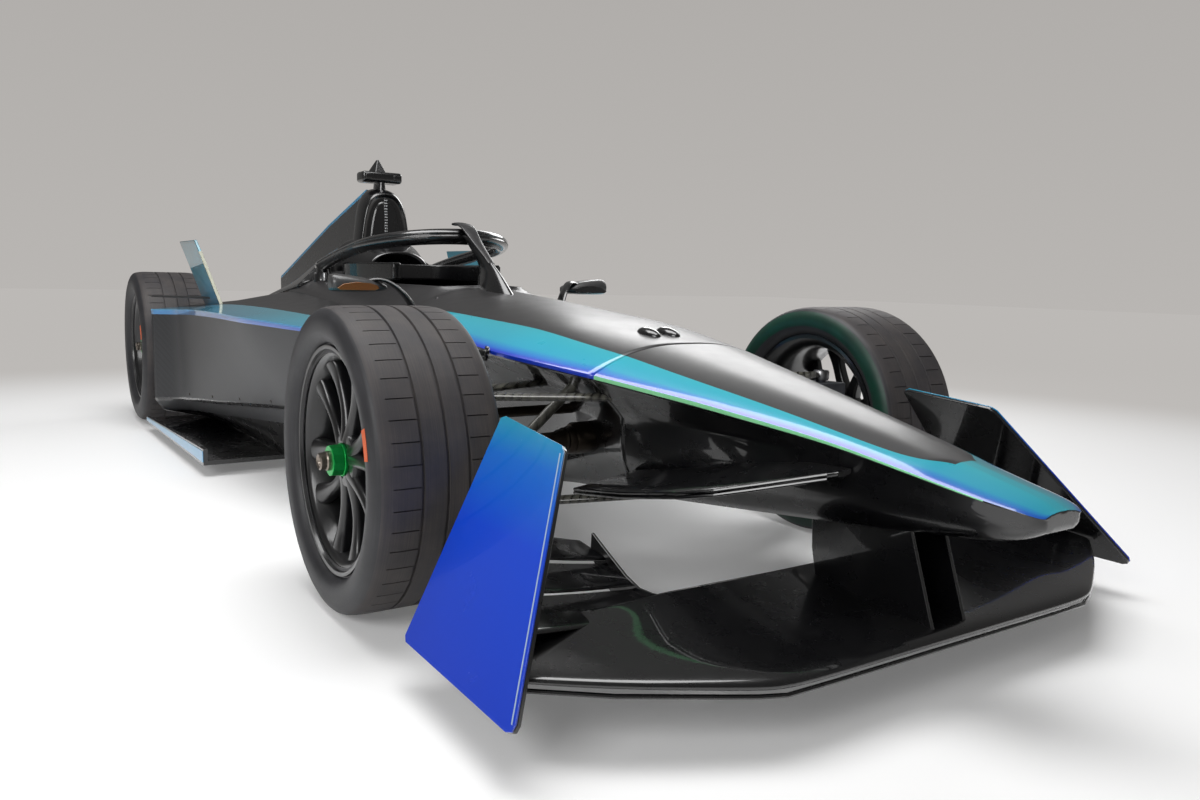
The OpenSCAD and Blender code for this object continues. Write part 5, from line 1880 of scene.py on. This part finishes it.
    def spokes(self, face: float) -> None:
        """Build five pairs of spokes that part towards the rim.

        Args:
            face: Offset of the hub face from the middle.
        """
        bm = bmesh.new()
        reach = self.bead - 0.014
        for number in range(self.spoke_pairs):
            base = math.tau * number / self.spoke_pairs + math.radians(18)
            for lean in (-1.0, 1.0):
                rows = []
                for share in (0.0, 0.18, 0.45, 0.75, 0.93, 1.0):
                    radius = self.spoke_root + share * (reach - self.spoke_root)
                    angle = base + lean * math.radians(9 + 13 * share ** 0.8)
                    wide = 0.020 - 0.007 * math.sin(math.pi * min(share, 0.9)) + (0.008 if share > 0.9 else 0.0)
                    top = face + 0.004 - 0.013 * math.sin(math.pi * share) + 0.004 * share
                    deep = 0.042 - 0.014 * share
                    out = Vector((math.cos(angle), 0.0, math.sin(angle)))
                    across = Vector((-math.sin(angle), 0.0, math.cos(angle)))
                    axis = Vector((0.0, self.side.value, 0.0))
                    section = [(-wide, top - deep), (-wide, top - 0.007), (-wide * 0.4, top), (wide * 0.4, top),
                               (wide, top - 0.007), (wide, top - deep)]
                    rows.append([self.centre + out * radius + across * u + axis * v for u, v in section])
                join(bm, solid_loft(rows, {0: 0.7, 5: 0.7, 1: 0.3, 4: 0.3}))
        self.hand_in(bm, "wheel_spokes", "wheel_magnesium", WHEEL_BLACK, subdivide=2)

    def hub(self, face: float) -> None:
        """Build the hub, the nut and the spindle end.

        Args:
            face: Offset of the hub face from the middle.
        """
        side = self.side.value
        bm = bmesh.new()
        turned(bm, [(0.0, face - 0.060), (0.060, face - 0.060), (0.063, face - 0.052), (0.063, face - 0.010),
                    (0.058, face - 0.002), (0.048, face), (0.0, face)], self.centre, side)
        self.hand_in(bm, "wheel_hub", "wheel_magnesium", WHEEL_BLACK, sharp=40.0)
        bm = bmesh.new()
        start = self.centre + Vector((0.0, side * face, 0.0))
        rod(bm, start, start + Vector((0.0, side * 0.007, 0.0)), 0.036, sides=48)
        rod(bm, start + Vector((0, side * 0.007, 0)), start + Vector((0, side * 0.031, 0)), 0.0345, 0.033, sides=12)
        self.hand_in(bm, "wheel_nut", "machined_aluminium", NUT_GREEN, bevel=0.0015, sharp=20.0)
        bm = bmesh.new()
        turned(bm, [(0.0, face + 0.047), (0.009, face + 0.047), (0.011, face + 0.051), (0.0155, face + 0.0535),
                    (0.0185, face + 0.051), (0.0185, face + 0.040), (0.0210, face + 0.037), (0.0210, face + 0.029),
                    (0.0, face + 0.029)], self.centre, side)
        self.hand_in(bm, "wheel_spindle", "dark_steel", SPINDLE_STEEL, sharp=30.0)

    def label(self) -> None:
        """Add the plain orange bar on the outer sidewall."""
        bm = bmesh.new()
        wall = self.radius - self.bead - self.lip
        low, high = self.bead + self.lip + 0.40 * wall, self.bead + self.lip + 0.62 * wall
        rows = []
        for step in range(7):
            angle = self.bar_angle + self.bar_span * (step / 6 - 0.5)
            out = Vector((math.cos(angle), 0.0, math.sin(angle)))
            rows.append([self.centre + out * r + Vector((0.0, self.side.value * y * self.width, 0.0))
                         for r, y in ((low, 0.4955), (low, 0.5), (high, 0.5), (high, 0.4955))])
        join(bm, solid_loft(rows))
        self.hand_in(bm, "tyre_bar", "tyre_rubber", ORANGE)

    def build(self) -> None:
        """Build the tyre and the wheel."""
        self.tyre()
        self.wheel()
        self.label()


def four_wheels() -> list[RoadWheel]:
    """Place the four wheels.

    Returns:
        One builder for each.
    """
    made = []
    for word, letter, dish in (("front", "f", 0.028), ("rear", "r", 0.045)):
        for side in Side:
            low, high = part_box("tyre_%s_%s" % (word, side.word))
            made.append(RoadWheel(
                "%s_%s" % (word, side.word), "wheel_%s%s" % (letter, side.word[0]), side, (low + high) / 2,
                (high.z - low.z) / 2, high.y - low.y, dish))
    return made


# ---------------------------------------------------------------- studio


@dataclass
class Studio:
    """Floor, backdrop, lights and camera."""

    eye: Vector = field(default_factory=lambda: Vector((3.3074, -1.4070, 0.7269)))
    yaw: float = 146.76
    pitch: float = -7.485
    roll: float = 1.328
    lens: float = 27.92
    floor_size: float = 60.0
    sensor: float = 36.0
    boxes: Sequence[tuple[Point, Point, float, float, float]] = (
        ((0.6, -0.6, 4.2), (0.2, 0.0, 0.3), 4.2, 2.2, 170.0),
        ((3.6, -4.6, 3.0), (0.6, 0.0, 0.4), 3.0, 2.0, 130.0),
        ((-3.0, 4.4, 3.2), (-0.3, 0.0, 0.4), 4.0, 2.0, 120.0),
    )

    def camera(self) -> None:
        """Place the camera in front of the car's right side."""
        yaw, pitch = math.radians(self.yaw), math.radians(self.pitch)
        ahead = Vector((math.cos(pitch) * math.cos(yaw), math.cos(pitch) * math.sin(yaw), math.sin(pitch)))
        data = bpy.data.cameras.new("camera")
        data.lens, data.sensor_width = self.lens, self.sensor
        cam = bpy.data.objects.new("camera", data)
        bpy.context.scene.collection.objects.link(cam)
        turn = ahead.to_track_quat("-Z", "Y").to_matrix().to_4x4()
        cam.matrix_world = Matrix.Translation(self.eye) @ turn @ Matrix.Rotation(math.radians(self.roll), 4, "Z")
        bpy.context.scene.camera = cam

    def floor(self) -> None:
        """Lay the floor."""
        bm = bmesh.new()
        bmesh.ops.create_grid(bm, x_segments=1, y_segments=1, size=self.floor_size / 2)
        mesh = bpy.data.meshes.new("floor_plane")
        bm.to_mesh(mesh)
        bm.free()
        plane = bpy.data.objects.new("floor_plane", mesh)
        bpy.context.scene.collection.objects.link(plane)
        mesh.materials.append(StudioFloor("painted_studio_floor", "#f1f1f1", 0.7).material())

    def backdrop(self) -> None:
        """Colour the wall behind for the camera, and dim it for the light it gives."""
        world = bpy.data.worlds.new("studio")
        bpy.context.scene.world = world
        world.use_nodes = True
        tree = world.node_tree
        out = tree.nodes["World Output"]
        way = add_node(tree, "TexCoord").outputs["Generated"]
        rise = remap(tree, split(tree, way)["Z"], -0.03, 0.35)
        shade = ramp(tree, rise, ((0.0, WALL_GREY), (1.0, "#aeaba8")))
        wall = add_node(tree, "Background", {"Color": shade, "Strength": 1.0})
        fill = add_node(tree, "Background", {"Color": linear("#6a6968"), "Strength": 1.0})
        path = add_node(tree, "LightPath").outputs
        seen = calc(tree, "MAXIMUM", path["Is Camera Ray"], path["Is Transmission Ray"])
        mix = add_node(tree, "MixShader", {0: seen, 1: fill.outputs[0], 2: wall.outputs[0]})
        tree.links.new(mix.outputs[0], out.inputs["Surface"])

    def lamps(self) -> None:
        """Hang the soft boxes."""
        for index, (spot, aim, wide, high, power) in enumerate(self.boxes):
            data = bpy.data.lights.new("soft_box_%d" % (index + 1), "AREA")
            data.shape, data.size, data.size_y, data.energy = "RECTANGLE", wide, high, power
            lamp = bpy.data.objects.new(data.name, data)
            lamp.location = spot
            lamp.rotation_euler = (Vector(aim) - Vector(spot)).to_track_quat("-Z", "Y").to_euler()
            bpy.context.scene.collection.objects.link(lamp)

    def build(self) -> None:
        """Make the whole studio."""
        self.camera()
        self.floor()
        self.backdrop()
        self.lamps()
        bpy.context.scene.view_settings.view_transform = "Standard"


# ---------------------------------------------------------------- the frame's own pieces

NODE_FINISHES: dict[str, Finish] = {
    "rain_light": RED_LENS, "powertrain": CAST, "tie_rods": DARK_STEEL, "knuckle_right": CAST, "knuckle_left": CAST,
    "rear_uprights": CAST, "seat": SEAT_SHELL, "steering_wheel": GRIP}


def dress_nodes() -> None:
    """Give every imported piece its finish."""
    for name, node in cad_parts.items():
        node.data.materials.clear()
        node.data.materials.append(NODE_FINISHES.get(name, GLOSS_BLACK).material())


def main() -> None:
    """Build every piece in order."""
    logging.basicConfig(level=logging.INFO, format="%(message)s")
    dress_nodes()
    Bodywork().build()
    for side in Side:
        Sidepod(side).build()
    FrontWing().build()
    Shelves().build()
    Halo().build()
    Cockpit().build()
    Cover().build()
    RearAero().build()
    Suspension().build()
    for wheel in four_wheels():
        wheel.build()
    Studio().build()


if __name__ == "__main__":
    main()
